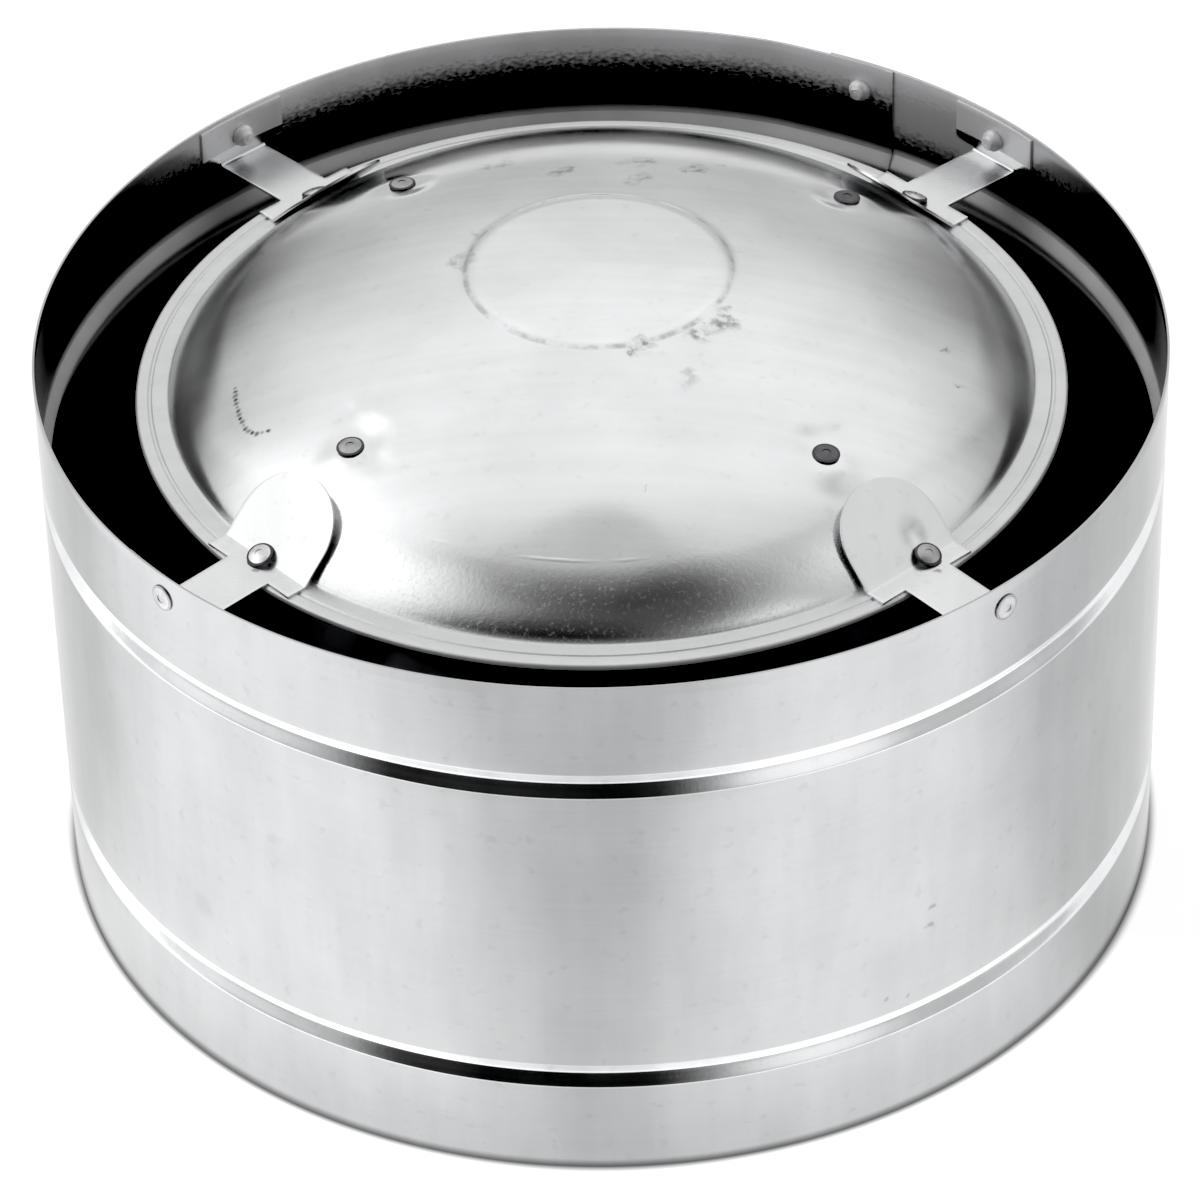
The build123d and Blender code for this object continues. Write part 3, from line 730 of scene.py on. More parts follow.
# %% Stains of the dome
DOME_STAINS = (
    # across, back, height, reach in mm and how dark
    (-11.3, 45.7, 0, 3.0, 0.40),
    (8.0, 41.8, 0, 4.0, 0.32),
    (22.0, 51.5, 0, 4.5, 0.40),
    (7.6, 52.7, 0, 5.0, 0.32),
    (-26.3, 54.1, 0, 5.0, 0.25),
    (29.9, -18.7, 0, 5.5, 0.42),
    (10.8, -29.8, 0, 3.5, 0.40),
    (24.5, -24.5, 0, 4.0, 0.42),
    (22.4, -37.9, 0, 4.0, 0.18),
    (13.2, -69.9, 0, 0.9, 0.50),
    (82.0, -8.7, 0, 1.3, 0.45),
    (84.3, -19.8, 0, 1.3, 0.45),
    (-32.0, 4.0, 0, 5.0, 0.25),
    (-29.0, 15.0, 0, 4.0, 0.20),
)
DUST = (
    # wide faint clouds on the crown, in the same order
    (-70.0, 20.0, 0, 30.0, 0.10),
    (-20.0, 62.0, 0, 34.0, 0.10),
    (35.0, 60.0, 0, 26.0, 0.08),
    (75.0, 10.0, 0, 24.0, 0.06),
)
SCRATCH = ((-84.0, -23.2), (-83.4, -28.1), (-82.0, -33.6), (-80.2, -38.4), (-77.6, -40.8), (-74.7, -41.1))
SCRATCH_COUNT = 17


def spaced_along(points, count):
    """Evenly spaced places on a run of straight stretches."""
    lengths = [hypot(x1 - x0, y1 - y0) for (x0, y0), (x1, y1) in zip(points, points[1:])]
    places = []
    for i in range(count):
        left = sum(lengths) * i / (count - 1)
        for length, (x0, y0), (x1, y1) in zip(lengths, points, points[1:]):
            if left <= length + 1e-9:
                places.append((x0 + (x1 - x0) * left / length, y0 + (y1 - y0) * left / length))
                break
            left -= length
    return places


SCRATCH_DOTS = [
    # reach and darkness go up and down along the row
    (x, y, 0, 0.7 + 0.1 * (i * 7 % 5), 0.5 + 0.1 * (i * 3 % 5))
    for i, (x, y) in enumerate(spaced_along(SCRATCH, SCRATCH_COUNT))
]
print("dome has", len(DOME_STAINS), "stains,", len(DUST), "dusty places and", len(SCRATCH_DOTS), "scratches")

# %% Galvanised sheet of the dome
PAD_REACH = 30.5 * MM
PAD_OUTLINE = PAD_REACH + 0.7 * MM
CREASE_RADIUS = 87.4 * MM
CREASE_WIDTH = 0.6 * MM
SHOULDER_START = 82 * MM
FOOT_START = 89 * MM
FOOT_WIDTH = 8 * MM
RIM_START = 101 * MM
# where each starts and ends, measured backwards from the axis, and its value at either end
WIDER_FOOT = (40 * MM, 75 * MM, 0.0, 6 * MM)
SIDE_CHALK = (-30 * MM, 0.0, 0.0, 0.4)
REAR_CHALK = (20 * MM, 70 * MM, 1.0, 2.25)
# where the crease fades in and out, measured across
CREASE_LEFT = (-44 * MM, -30 * MM, 0.0, 1.0)
CREASE_RIGHT = (8 * MM, 20 * MM, 1.0, 0.0)


def dome_stains_and_shade(tree, flat, radius):
    """Stains, the row of scratches and painted shade along the pad's edge, from 0 to about 0.9."""
    ragged = noise(tree, flat, 420, EVEN, 6)
    veins = noise(tree, flat, 150, EVEN, 8)
    spots = stains(tree, wobbled(tree, flat, 150, 5 * MM), DOME_STAINS)
    spots = times(tree, spots, fade(tree, ragged, 0.38, 0.62, 0.2, 1.3))
    dots = stains(tree, wobbled(tree, flat, 900, 0.3 * MM), SCRATCH_DOTS)
    # painted shade: a thin dark line along the edge of the raised pad
    from_pad = calc(tree, "ABSOLUTE", calc(tree, "SUBTRACT", radius, PAD_OUTLINE))
    pad_edge_shade = fade(tree, from_pad, 0.2 * MM, 0.9 * MM, 0.26, 0.0)
    pad_edge_shade = times(tree, pad_edge_shade, fade(tree, veins, 0.42, 0.62, 0.05, 1.2))
    return calc(tree, "MAXIMUM", calc(tree, "MAXIMUM", spots, dots), pad_edge_shade)


def dome_chalk(tree, radius, back):
    """Chalk on the rim and at the dome's foot, none at the front and most of it at the rear."""
    wider = fade(tree, back, *WIDER_FOOT)
    foot = fade(tree, calc(tree, "ADD", radius, wider), FOOT_START, FOOT_START + FOOT_WIDTH)
    at_sides = fade(tree, back, *SIDE_CHALK)
    at_rear = fade(tree, back, *REAR_CHALK)
    rim = fade(tree, radius, RIM_START, RIM_START + 2 * MM)
    return calc(tree, "MAXIMUM", times(tree, foot, at_sides, at_rear), rim)


def crease_height(tree, radius, across, clouds, facing):
    """A faint broken line round the front of the shoulder."""
    away = calc(tree, "ABSOLUTE", calc(tree, "SUBTRACT", radius, CREASE_RADIUS))
    line = fade(tree, away, 0.0, CREASE_WIDTH, 1.0, 0.0)
    left_end = fade(tree, across, *CREASE_LEFT)
    right_end = fade(tree, across, *CREASE_RIGHT)
    return times(tree, line, fade(tree, clouds, 0.4, 0.6), facing, left_end, right_end)


def pressed_finish():
    """Satin zinc with a stained, scuffed crown, a pad with painted light and painted shade at its edge, and
    a stretched, pimpled shoulder.
    """
    colour = (0.70, 0.705, 0.71)
    material, tree, shader = new_metal("galvanised_dome", colour, 0.16)
    place = object_place(tree)
    flat = node(tree, "ShaderNodeVectorMath", {0: place, 1: (1, 1, 0)}, operation="MULTIPLY").outputs[0]
    radius = node(tree, "ShaderNodeVectorMath", {0: flat}, operation="LENGTH").outputs["Value"]
    split = split_place(tree, place)
    across, back = split["X"], split["Y"]
    clouds = noise(tree, flat, 34, EVEN, 6)
    brushed = noise(tree, flat, 45, (0.3, 5, 1), 4)
    specks = noise(tree, flat, 300, EVEN, 6)
    pits = noise(tree, flat, 1100, EVEN, 2)
    pimples = noise(tree, place, 900, EVEN, 3)
    glints = noise(tree, place, 1100, EVEN, 2)

    dirt_and_shade = dome_stains_and_shade(tree, flat, radius)
    dust = stains(tree, wobbled(tree, flat, 40, 16 * MM), DUST)
    clean = calc(tree, "SUBTRACT", calc(tree, "SUBTRACT", 1.0, dirt_and_shade), dust)
    tone = times(tree, vary(tree, clouds, 0.93, 1.02), vary(tree, brushed, 0.98, 1.02))
    tone = times(tree, tone, vary(tree, specks, 0.94, 1.0, PIN_PRICKS))
    # painted light: the pad's colour is a little lighter
    pad_painted_light = fade(tree, radius, PAD_REACH - 0.8 * MM, PAD_REACH, 1.05, 1.0)
    tint(tree, shader, colour, times(tree, tone, pad_painted_light, clean))

    chalky = dome_chalk(tree, radius, back)
    facing = fade(tree, calc(tree, "MULTIPLY", back, -1.0), 0.6 * CREASE_RADIUS, 0.85 * CREASE_RADIUS)
    shoulder = fade(tree, radius, SHOULDER_START, SHOULDER_START + 10 * MM)
    sparkle = times(tree, fade(tree, glints, 0.56, 0.66, 0.0, 0.12), shoulder, facing)
    rough = calc(tree, "ADD", vary(tree, clouds, 0.12, 0.19, MIDDLE), fade(tree, dirt_and_shade, 0.0, 0.5, 0.0, 0.25))
    rough = calc(tree, "ADD", calc(tree, "ADD", rough, sparkle), times(tree, chalky, 0.2))
    tree.links.new(rough, shader.inputs["Roughness"])
    tree.links.new(fade(tree, chalky, 0.0, 1.0, 1.0, 0.5), shader.inputs["Metallic"])

    stretched = times(tree, pimples, fade(tree, radius, SHOULDER_START, SHOULDER_START + 11 * MM, 0.06, 1.0))
    stretched = times(tree, stretched, fade(tree, facing, 0.0, 1.0, 0.35, 1.0))
    crease = crease_height(tree, radius, across, clouds, facing)
    bumps = ((brushed, 0.006 * MM), (pits, 0.004 * MM), (stretched, 0.022 * MM), (crease, 0.03 * MM))
    roughen(tree, shader, *bumps)
    print("finish", material.name, "of", len(tree.nodes), "nodes")
    return material


dome_finish = pressed_finish()

# %% [markdown]
# The dome is pressed from a disc: a shallow crown with a raised round pad, a steep shoulder, and a
# flat rim with a fine groove and a turned edge. It could be a sphere primitive cut off low down,
# but it isn't one sphere. It is round all over, though, so its section is drawn once and spun.

# %% The dome's section
CROWN_SPHERE = 195 * MM
PAD_RAISE = 0.45 * MM
PAD_EDGE = 0.9 * MM
PAD_SPHERE = 290 * MM
PAD_STEP = 0.65 * MM
SHOULDER_RADIUS = 88 * MM
FOOT_RADIUS = 102.3 * MM
FOOT_BEND = 1.2 * MM
GROOVE_RADIUS = 106.6 * MM
GROOVE_WIDTH = 1.2 * MM
GROOVE_DEPTH = 0.35 * MM
LIP_BEND = 0.8 * MM
CROWN_CENTRE = DOME_TOP - PAD_RAISE - CROWN_SPHERE
CROWN_LEAN = asin(SHOULDER_RADIUS / CROWN_SPHERE)


def shoulder_circle():
    """Centre and radius of the shoulder's arc, which leaves the crown smoothly and meets the foot."""
    top = CROWN_CENTRE + CROWN_SPHERE * cos(CROWN_LEAN)
    span, fall = FOOT_RADIUS - SHOULDER_RADIUS, top - RIM_TOP
    bend = atan2(fall, span) - CROWN_LEAN
    radius = hypot(span, fall) / (2 * sin(bend))
    return (SHOULDER_RADIUS - radius * sin(CROWN_LEAN), top - radius * cos(CROWN_LEAN)), radius


def pad_and_crown_points():
    """From the axis out over the pad, down its small step and on to where the shoulder starts."""
    step_lean = asin((PAD_REACH + PAD_EDGE) / CROWN_SPHERE)
    pad_lean = asin(PAD_REACH / PAD_SPHERE)
    pad_edge_z = CROWN_CENTRE + CROWN_SPHERE * cos(step_lean) + PAD_STEP
    pad_centre = (0, pad_edge_z - PAD_SPHERE * cos(pad_lean))
    pad = arc(pad_centre, PAD_SPHERE, pi / 2, pi / 2 - pad_lean, 12)
    return pad + arc((0, CROWN_CENTRE), CROWN_SPHERE, pi / 2 - step_lean, pi / 2 - CROWN_LEAN, 34)


def shoulder_and_foot_points():
    """The steep shoulder and the tight bend that turns it out onto the rim."""
    centre, radius = shoulder_circle()
    foot_z = RIM_TOP + FOOT_BEND
    foot_r = centre[0] + sqrt((radius + FOOT_BEND) ** 2 - (foot_z - centre[1]) ** 2)
    touch = atan2(foot_z - centre[1], foot_r - centre[0])
    shoulder = arc(centre, radius, pi / 2 - CROWN_LEAN, touch, 16)[1:]
    return shoulder + arc((foot_r, foot_z), FOOT_BEND, pi + touch, 3 * pi / 2, 5)[1:]


def groove_and_lip_points():
    """The groove's shallow dip in the rim and the bend down into the lip."""
    half = GROOVE_WIDTH / 2
    dips = (-1, -0.6, -0.2, 0.2, 0.6, 1)
    groove = [(GROOVE_RADIUS + half * t, RIM_TOP - GROOVE_DEPTH * (1 - t * t)) for t in dips]
    lip = arc((RIM_RADIUS - LIP_BEND, RIM_TOP - LIP_BEND), LIP_BEND, pi / 2, 0, 5)
    return groove + lip + [(RIM_RADIUS, RIM_TOP - LIP_DROP)]


def dome_points():
    """The dome's outer face from the axis to the lip."""
    inner = pad_and_crown_points() + shoulder_and_foot_points()
    outer = groove_and_lip_points()
    return inner + steps_between(inner[-1], outer[0], 3) + outer


print("points along the dome's section:", len(dome_points()))

# %% [markdown]
# Thin sheet never stays perfectly round. The legs' rivets pull the crown into small dimples, the
# brackets' tabs have nicked the shoulder, and the crown has a few wide soft hollows, which bend the
# reflections. Sculpting would do it by hand. Here one point is moved and drags its neighbours with
# it, which is proportional editing, and every dent is one line in a table.

# %% Dents
# radius and angle of each rivet that holds a leg
LEG_RIVETS = ((76.0 * MM, 41), (71.8 * MM, 134), (76.0 * MM, 224), (76.0 * MM, 315))
DENT_AWAY = 3.5 * MM
DIMPLE_REACH = 8.0
RIVET_DENTS = [
    # pushed down on the inner side of each rivet and pulled up on its outer side
    ((r + away) / MM * cos(radians(a)), (r + away) / MM * sin(radians(a)), depth, DIMPLE_REACH)
    for r, a in LEG_RIVETS
    for away, depth in ((-DENT_AWAY, 0.8), (DENT_AWAY, -0.7))
]
DENTS = (
    # across, back, depth and reach in mm
    (-56.5, -43.1, 0.30, 4.0),
    (-48.7, -57.9, 0.25, 4.0),
    (56.6, -47.8, 0.55, 4.5),
    (48.5, -56.0, -0.15, 6.0),
    (-20.0, -45.0, 0.20, 34.0),
    (38.0, 22.0, 0.20, 30.0),
    (-62.0, 12.0, 0.25, 26.0),
    (4.0, -86.0, 0.25, 16.0),
)


def pick(piece, test):
    """Select only the points of the mesh in edit mode whose place passes a test."""
    bpy.ops.mesh.select_all(action="DESELECT")
    mesh = bmesh.from_edit_mesh(piece.data)
    for point in mesh.verts:
        if test(point.co):
            point.select_set(True)
    mesh.select_flush_mode()
    bmesh.update_edit_mesh(piece.data)


def dent(piece, middle, move, reach):
    """Push the point nearest to a place and drag its neighbours along, less and less."""
    places = [point.co.copy() for point in bmesh.from_edit_mesh(piece.data).verts]
    nearest = min(places, key=lambda p: (p - middle).length)
    pick(piece, lambda p: (p - nearest).length < 0.01 * MM)
    bpy.ops.transform.translate(
        value=move,
        use_proportional_edit=True,
        proportional_edit_falloff="SMOOTH",
        proportional_size=reach,
    )


# %% The dome
DOME_TURNS = 300


def make_dome():
    """Spin the dome's section all the way round, close it and press the dents into it."""
    piece = draw_section("dome_pressing", dome_points())
    turn_about(2 * pi, DOME_TURNS)
    bpy.ops.mesh.select_all(action="SELECT")
    bpy.ops.mesh.remove_doubles(threshold=0.001 * MM)
    bpy.ops.mesh.normals_make_consistent(inside=False)
    for x, y, depth, reach in (*RIVET_DENTS, *DENTS):
        height = CROWN_CENTRE + sqrt(CROWN_SPHERE**2 - (x * x + y * y) * MM * MM)
        dent(piece, Vector((x * MM, y * MM, height)), (0, 0, -depth * MM), reach * MM)
    bpy.ops.object.mode_set(mode="OBJECT")
    return piece


dome = make_dome()
thicken(dome, SHEET, -1)
place_piece(dome, dome_finish, "dome_sheet", "storm_dome")
# painted shade: the dome's underside gets the nearly black inner sheet
finish_where(dome, shaded_inner_finish, lambda p, n: n.z < -TURNED_AWAY)
print("dents in the dome:", len(RIVET_DENTS) + len(DENTS))

# %% [markdown]
# Each bracket is cut from flat strip and folded: a flange that follows the wall, a strap, a wider
# head on the rim and a tongue that rises over the shoulder. The folds make it stiff, so they are
# modelled as real bends. A row of edges is extruded for each flat stretch and spun about a line for
# each fold, which is just what a press brake does. One bracket is made and copied four times.

# %% The bracket's head and tab
TAB_RISE = radians(45)
TAB_LENGTH = 22 * MM
TAB_STATIONS = (2, 4, 6, 8, 10, 12, 13.5, 15, 16.3, 17.5, 18.5, 19.4, 20.2, 20.8, 21.3, 21.65, 21.88, 21.98)
HEAD_WIDTH = 28 * MM
HEAD_COLUMNS = 28
HEAD_RADIUS = RIM_RADIUS - 1.2 * MM
HEAD_LEVEL = RIM_TOP + SHEET / 2
FOLD_RADIUS = FOOT_RADIUS + 1.2 * MM
FOLD_BEND = 0.9 * MM
FOLD_LINE = FOLD_RADIUS + SHEET / 2 * tan(TAB_RISE / 2)


def fold_row(angle, centre, steps):
    """Spin the selected row about a line along Y. A positive angle lifts a row that runs inwards."""
    bpy.ops.mesh.spin(steps=steps, angle=-angle, center=centre, axis=(0, 1, 0))


def extrude_in_steps(move, count):
    for _ in range(count):
        extrude_by(move / count)


def make_head():
    """One row of points across the head's outer edge, drawn inwards to the fold and bent up."""
    piece = add_point("bracket_blank", (HEAD_RADIUS, -HEAD_WIDTH / 2, HEAD_LEVEL))
    extrude_in_steps(Vector((0, HEAD_WIDTH, 0)), HEAD_COLUMNS)
    bpy.ops.mesh.select_all(action="SELECT")
    short = FOLD_BEND * tan(TAB_RISE / 2)
    extrude_in_steps(Vector((FOLD_LINE + short - HEAD_RADIUS, 0, 0)), 4)
    fold_row(TAB_RISE, (FOLD_LINE + short, 0, HEAD_LEVEL + FOLD_BEND), 4)
    return piece


def draw_tab():
    """Draw the bent row on up the slope, narrower and narrower where the tab's end is round."""
    rise = Vector((-cos(TAB_RISE), 0, sin(TAB_RISE)))
    end_radius = HEAD_WIDTH / 2
    place, half = FOLD_BEND * tan(TAB_RISE / 2), end_radius
    for station in TAB_STATIONS:
        extrude_by(rise * (station * MM - place))
        place = station * MM
        past = max(0.0, place - (TAB_LENGTH - end_radius))
        wide = sqrt(end_radius**2 - past**2)
        bpy.ops.transform.resize(value=(1, wide / half, 1), center_override=(0, 0, 0))
        half = wide


# %% The bracket's strap and flange
STRAP_WIDTH = 14 * MM
STRAP_FALL = 1.0 * MM
STRAP_START = RIM_RADIUS + 0.8 * MM
FLANGE_WIDTH = 25.5 * MM
FLANGE_TOP = SHELL_HEIGHT - 0.8 * MM
WALL_BEND = 1.1 * MM
WALL_LINE = sqrt((SHELL_RADIUS - SHEET) ** 2 - (STRAP_WIDTH / 2) ** 2) - SHEET / 2
WALL_CURVE = SHELL_RADIUS - SHEET - SHEET / 2
STRAP_SLOPE = atan2(STRAP_FALL, WALL_LINE - RIM_RADIUS)
WING = (FLANGE_WIDTH - STRAP_WIDTH) / 2
WING_COLUMNS = 4
TOUCH = 0.01 * MM


def draw_strap(piece):
    """Draw the head's middle out to the wall and bend it upright. It gives back the bend's height."""
    pick(piece, lambda p: abs(p.x - HEAD_RADIUS) < TOUCH and abs(p.y) < STRAP_WIDTH / 2 + TOUCH)
    extrude_by((STRAP_START - HEAD_RADIUS, 0, 0))
    short = WALL_BEND * tan((pi / 2 + STRAP_SLOPE) / 2)
    run = (WALL_LINE - STRAP_START) / cos(STRAP_SLOPE) - short
    downhill = Vector((cos(STRAP_SLOPE), 0, -sin(STRAP_SLOPE)))
    extrude_in_steps(downhill * run, 10)
    end = Vector((STRAP_START, 0, HEAD_LEVEL)) + downhill * run
    centre = end + Vector((sin(STRAP_SLOPE), 0, cos(STRAP_SLOPE))) * WALL_BEND
    fold_row(-(pi / 2 + STRAP_SLOPE), centre, 5)
    return centre.z


def draw_flange(piece, bottom):
    """Draw the upright part up to its top edge and then a wing out to each side of it."""
    extrude_in_steps(Vector((0, 0, FLANGE_TOP - bottom)), 8)
    for side in (-1, 1):
        edge = side * STRAP_WIDTH / 2
        pick(piece, lambda p: p.z > bottom - TOUCH and p.x > WALL_LINE - TOUCH and abs(p.y - edge) < TOUCH)
        extrude_in_steps(Vector((0, side * WING, 0)), WING_COLUMNS)


def curve_flange(piece, bottom):
    """Move each column of the flange out or in until it lies on the shell's inner face."""
    strap_columns = [step * MM for step in range(-7, 8)]
    wing_columns = [STRAP_WIDTH / 2 + WING * step / WING_COLUMNS for step in range(1, WING_COLUMNS + 1)]
    reach = 0.6 * MM
    for across in strap_columns + wing_columns + [-column for column in wing_columns]:
        pick(
            piece,
            lambda p: p.z > bottom + reach and p.x > WALL_LINE - reach and abs(p.y - across) < 0.05 * MM,
        )
        bpy.ops.transform.translate(value=(sqrt(WALL_CURVE**2 - across**2) - WALL_LINE, 0, 0))


def make_bracket():
    piece = make_head()
    draw_tab()
    bottom = draw_strap(piece)
    draw_flange(piece, bottom)
    curve_flange(piece, bottom)
    bpy.ops.mesh.select_all(action="SELECT")
    bpy.ops.mesh.remove_doubles(threshold=0.02 * MM)
    bpy.ops.mesh.normals_make_consistent(inside=False)
    bpy.ops.object.mode_set(mode="OBJECT")
    print("bracket blank spans, mm:", [round(x / MM, 2) for x in (*piece.bound_box[0], *piece.bound_box[6])])
    return piece


# %% The four brackets
TAB_DENT = (73.8, -67.2, 135.5)
TAB_DENT_MOVE = (-0.4, 0.4, -0.7)
TAB_DENT_REACH = 4.5 * MM


def copy_piece(piece, name, place):
    """Copy a piece with its own mesh and set the copy in its place."""
    choose(piece)
    bpy.ops.object.duplicate(linked=False)
    copied = bpy.context.object
    copied.name = name
    copied.matrix_world = place
    bpy.ops.object.transform_apply(location=True, rotation=True, scale=True)
    return copied


def on_flange(p, n):
    """True on the flange, which gets painted light: a lighter and duller copy of the strap's finish."""
    return p.z > RIM_TOP + 3 * MM and p.xy.length > RIM_RADIUS + 6 * MM


blank = make_bracket()
thicken(blank, SHEET, 0)
for corner, angle in CORNERS.items():
    bracket = copy_piece(blank, "strap_" + corner, Matrix.Rotation(radians(angle), 4, "Z"))
    if corner == "front_right":
        bpy.ops.object.mode_set(mode="EDIT")
        dent(bracket, Vector(TAB_DENT) * MM, Vector(TAB_DENT_MOVE) * MM, TAB_DENT_REACH)
        bpy.ops.object.mode_set(mode="OBJECT")
    place_piece(bracket, strip_finish, "bracket_strip", "bracket_" + corner)
    finish_where(bracket, lit_flange_finish, on_flange)
bpy.data.objects.remove(blank)

# %% [markdown]
# The rivets differ in tone: those of the seam and the folds are bright, those of the wall are softer,
# those on the crown are dark, and the squeezed tails are pale and dull. The leg rivets on the right
# and the fold rivet at the front right are darker still, and the edge of every head is dark: both
# are painted shade. Six separate materials would repeat each other, so one recipe takes a colour
# and a roughness. Fine pits keep the small heads from looking like plastic.

# %% Rivet metal


def rivet_metal(name, colour, roughness, metallic=1.0):
    material, tree, shader = new_metal(name, colour, roughness, metallic)
    place = object_place(tree)
    cloud = noise(tree, place, 350, EVEN, 4)
    pits = noise(tree, place, 1800, EVEN, 2)
    tint(tree, shader, colour, vary(tree, cloud, 0.75, 1.05, MIDDLE))
    tree.links.new(vary(tree, cloud, roughness, roughness + 0.15), shader.inputs["Roughness"])
    roughen(tree, shader, (pits, 0.02 * MM), (cloud, 0.08 * MM))
    print("finish", name, "of", len(tree.nodes), "nodes")
    return material


bright_finish = rivet_metal("rivet_bright", (0.74, 0.74, 0.75), 0.22)
soft_finish = rivet_metal("rivet_soft", (0.62, 0.62, 0.63), 0.36)
grey_finish = rivet_metal("rivet_grey", (0.42, 0.42, 0.425), 0.30)
dark_finish = rivet_metal("rivet_dark", (0.15, 0.15, 0.155), 0.35)
dull_finish = rivet_metal("rivet_dull", (0.10, 0.10, 0.105), 0.35)
tail_finish = rivet_metal("rivet_tail", (0.86, 0.86, 0.87), 0.45, 0.3)

# %% [markdown]
# A blind rivet has a low domed head with the broken pull pin showing in its middle, and a tail that
# is squeezed into a bulb behind the sheet. A sphere cut in half would be quicker, but it shows no
# pin. So the section is drawn from the top of the head to the end of the tail and spun. Each row
# of rivets is one piece, made of copies of one rivet.

# %% One rivet
HEAD_REACH = 3.175 * MM
HEAD_TALL = 1.0 * MM
LOW_HEAD_TALL = 0.75 * MM
HEAD_EDGE = 0.35 * MM
HEAD_RIM = 2.6 * MM
SHANK = 1.6 * MM
PIN_BORE = 1.05 * MM
PIN = 0.85 * MM
TAIL_REACH = 2.8 * MM
TAIL_LENGTH = 3.2 * MM
RIVET_TURNS = 40
RIVET_SMOOTH_UP_TO = radians(40)


def head_points(tall):
    """The pin's broken end, the domed head and its thin edge. The head sits at zero height."""
    sphere = (HEAD_REACH**2 + (tall - HEAD_EDGE) ** 2) / (2 * (tall - HEAD_EDGE))
    radii = [PIN_BORE + (HEAD_REACH - PIN_BORE) * t / 8 for t in range(9)]
    crown = [(r, tall - sphere + sqrt(sphere**2 - r * r)) for r in radii]
    sunk = tall - 0.12 * MM
    stub = [(0, sunk), (PIN * 0.6, sunk), (PIN, tall - 0.18 * MM), (PIN_BORE, tall - 0.2 * MM)]
    lip = [(HEAD_REACH + 0.05 * MM, HEAD_EDGE * 0.5), (HEAD_REACH - 0.05 * MM, 0), (SHANK, 0)]
    return stub + crown + lip


def tail_points(grip):
    """The squeezed tail under sheets as thick as the grip, down to the pin's lower end."""
    end = -grip - TAIL_LENGTH
    return [
        (SHANK, -grip),
        (TAIL_REACH * 0.92, -grip - 0.1 * MM),
        (TAIL_REACH, -grip - 0.7 * MM),
        (TAIL_REACH * 0.96, -grip - 1.5 * MM),
        (TAIL_REACH * 0.80, -grip - 2.0 * MM),
        (SHANK * 1.12, -grip - 2.3 * MM),
        (SHANK * 1.08, end + 0.3 * MM),
        (SHANK * 0.9, end + 0.05 * MM),
        (PIN, end + 0.1 * MM),
        (PIN * 0.9, end),
        (0, end),
    ]


def make_rivet(name, grip, tall):
    piece = draw_section(name, head_points(tall) + tail_points(grip))
    turn_about(2 * pi, RIVET_TURNS)
    bpy.ops.mesh.select_all(action="SELECT")
    bpy.ops.mesh.remove_doubles(threshold=0.005 * MM)
    bpy.ops.mesh.normals_make_consistent(inside=False)
    bpy.ops.object.mode_set(mode="OBJECT")
    bpy.ops.object.shade_smooth_by_angle(angle=RIVET_SMOOTH_UP_TO)
    return piece


def set_rivets(name, places, grip, tall):
    """Copy one rivet to each place and join the copies."""
    pattern = make_rivet(name + "_pattern", grip, tall)
    copies = [copy_piece(pattern, name + str(number), place) for number, place in enumerate(places)]
    bpy.data.objects.remove(pattern)
    bpy.ops.object.select_all(action="DESELECT")
    for rivet in copies:
        rivet.select_set(True)
    bpy.context.view_layer.objects.active = copies[0]
    bpy.ops.object.join()
    copies[0].name = name
    return copies[0]


# %% Where the rivets sit
HEAD_TILT_SHARE = 0.35
WALL_RIVET_INSET = 6.5 * MM
SEAM_RIVET_INSET = 7.6 * MM
FOLD_TILT = TAB_RISE / 2
FOLD_STANDOFF = HEAD_REACH * tan(FOLD_TILT)
FOLD_SHIFT = {"rear_right": 0.0, "rear_left": 0.0, "front_left": -0.9 * MM, "front_right": 4.7 * MM}


def radial_place(radius, height, angle):
    """Frame on the wall whose Z points away from the axis."""
    turn = Matrix.Rotation(angle, 4, "Z")
    return turn @ Matrix.Translation((radius, 0, height)) @ Matrix.Rotation(pi / 2, 4, "Y")


def tilted_place(radius, height, tilt, angle, across=0.0):
    """Frame whose Z leans outwards from the vertical by the tilt."""
    turn = Matrix.Rotation(angle, 4, "Z")
    return turn @ Matrix.Translation((radius, across, height)) @ Matrix.Rotation(tilt, 4, "Y")


def crown_place(radius, angle):
    """Frame in the middle of a leg rivet's dimple. The leg's level foot pulls the head nearly level."""
    tilt = asin(radius / CROWN_SPHERE)
    return tilted_place(radius, CROWN_CENTRE + CROWN_SPHERE * cos(tilt), tilt * HEAD_TILT_SHARE, angle)


def fold_place(angle, across):
    """Frame over a bracket's fold, where the head's edge touches the tab and the flat head."""
    radius = FOLD_RADIUS + SHEET * tan(FOLD_TILT) + FOLD_STANDOFF * sin(FOLD_TILT)
    height = RIM_TOP + SHEET + FOLD_STANDOFF * cos(FOLD_TILT)
    return tilted_place(radius, height, FOLD_TILT, angle, across)


seam_turn = SEAM_TURN + LAP_WIDTH / SHELL_RADIUS / 2
seam_levels = (SEAM_RIVET_INSET, SHELL_HEIGHT / 2, SHELL_HEIGHT - SEAM_RIVET_INSET)
wall_level = SHELL_HEIGHT - WALL_RIVET_INSET
wall_places = [radial_place(SHELL_RADIUS, wall_level, radians(angle)) for angle in CORNERS.values()]
seam_places = [radial_place(SHELL_RADIUS, level, seam_turn) for level in seam_levels]
leg_places = [crown_place(radius, radians(angle)) for radius, angle in LEG_RIVETS]
fold_places = [fold_place(radians(angle), FOLD_SHIFT[corner]) for corner, angle in CORNERS.items()]
print("rivets to set:", len(wall_places + seam_places + leg_places + fold_places))

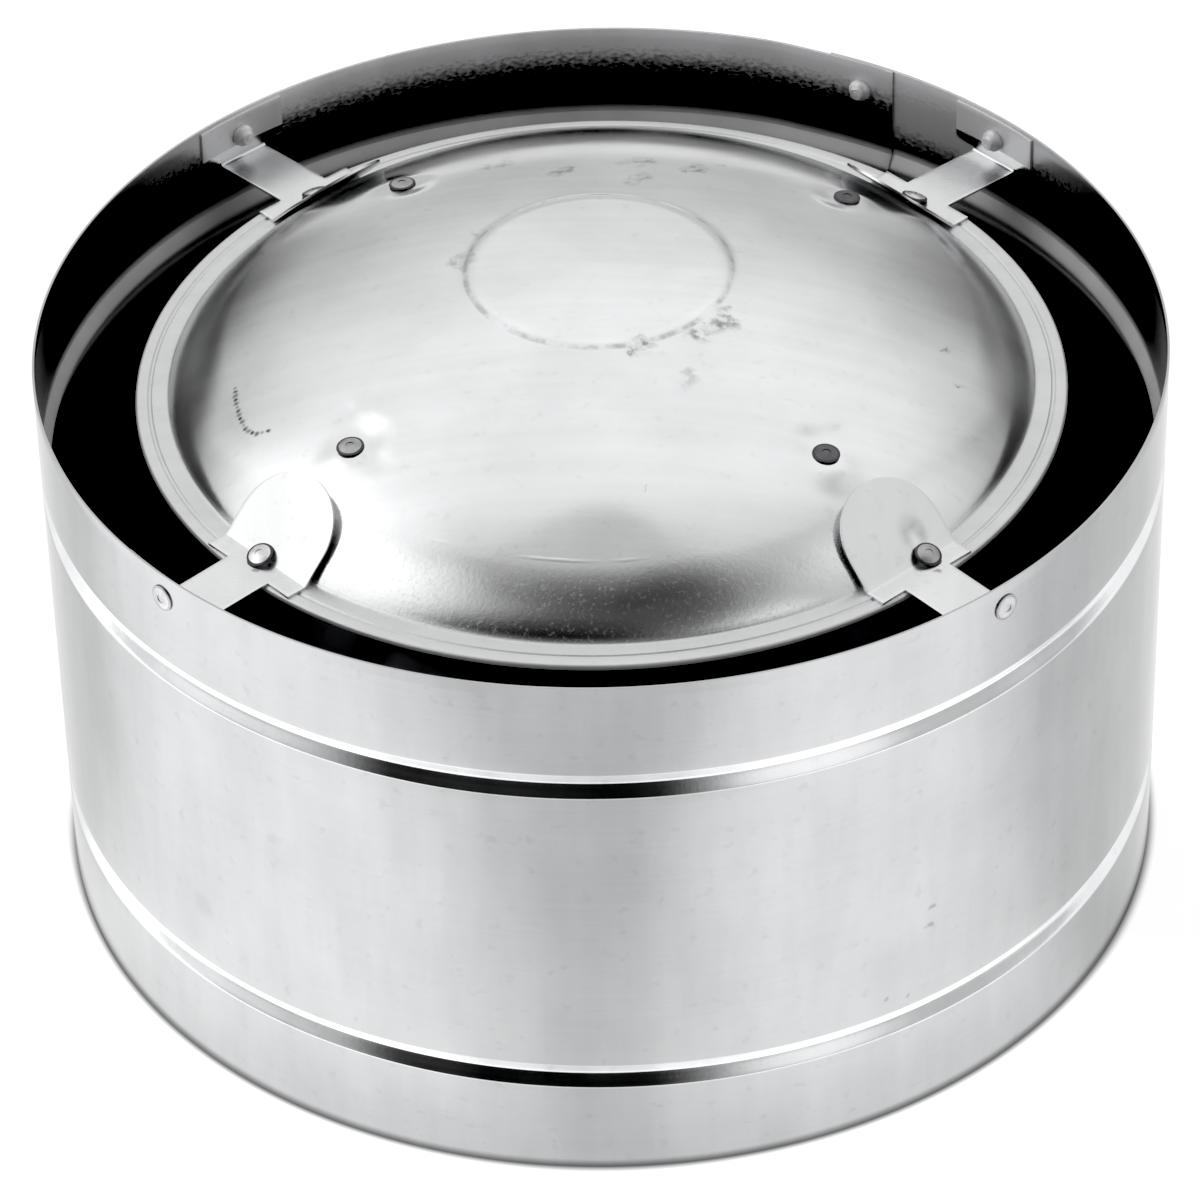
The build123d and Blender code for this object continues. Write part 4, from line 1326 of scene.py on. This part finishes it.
# %% The rows of rivets
LEG_GRIP = 1.4 * MM
FOLD_GRIP = 2.9 * MM
RIVET_ROWS = (
    # name, places, grip, how tall the head is, finish, darker finish of the head's edge (painted shade),
    # slot and imported node
    ("wall_rivets", wall_places, 2 * SHEET, LOW_HEAD_TALL, soft_finish, grey_finish,
     "bright_rivets", "bracket_wall_rivets"),
    ("seam_rivets", seam_places, SHEET + LAP_STEP, HEAD_TALL, bright_finish, dull_finish,
     "bright_rivets", "shell_seam_rivets"),
    ("leg_rivets", leg_places, LEG_GRIP, LOW_HEAD_TALL, grey_finish, dull_finish,
     "dull_rivets", "leg_dome_rivets"),
    ("fold_rivets", fold_places, FOLD_GRIP, HEAD_TALL, bright_finish, dull_finish,
     "bright_rivets", "bracket_dome_rivets"),
)
DARKER_RIVETS = {
    # painted shade: the leg rivets on the right, and the fold rivet at the front right, get darker finishes
    "leg_rivets": (dark_finish, lambda p, n: p.x > 0),
    "fold_rivets": (grey_finish, lambda p, n: p.x > 0 and p.y < 0),
}


def seen_from_rivet(places, middle):
    """A place as the nearest rivet's frame measures it."""
    return min((place.inverted() @ middle for place in places), key=lambda p: p.length)


def on_head_edge(places):
    """A test for the rolled edge of the rivet heads at these places, whose darker finish is painted shade
    where the head meets the sheet.
    """

    def test(middle, normal):
        local = seen_from_rivet(places, middle)
        return local.z > -0.01 * MM and local.xy.length > HEAD_RIM

    return test


def on_tail(places):
    """A test for the squeezed tails behind the sheets."""
    return lambda middle, normal: seen_from_rivet(places, middle).z < -SHEET


for name, places, grip, tall, finish, edge_finish, slot, packed_node in RIVET_ROWS:
    row = set_rivets(name, places, grip, tall)
    place_piece(row, finish, slot, packed_node)
    if name in DARKER_RIVETS:
        finish_where(row, *DARKER_RIVETS[name])
    finish_where(row, edge_finish, on_head_edge(places))
    finish_where(row, tail_finish, on_tail(places))

# %% [markdown]
# Nine nodes under the dome keep their imported shape: the collar, the skirt, the flue ring, the four
# legs and two groups of rivets. They could be modelled again with finer edges, but they are barely
# seen through the gap. Left plain, though, they would show as flat grey in there, so each gets one
# of the finishes above. The collar, the skirt and the flue ring get the nearly black inner sheet,
# which is painted shade.

# %% Finishes of the imported pieces
node_finishes = {
    "pipe_collar": shaded_inner_finish,
    "rain_skirt": shaded_inner_finish,
    "flue_ring": shaded_inner_finish,
    "leg_collar_rivets": bright_finish,
    "flue_ring_rivets": bright_finish,
}
for corner in CORNERS:
    node_finishes["leg_" + corner] = strip_finish
for node_name, finish in node_finishes.items():
    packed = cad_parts[node_name]
    packed.data.materials.clear()
    packed.data.materials.append(finish)
    print(node_name, "is finished in", finish.name)
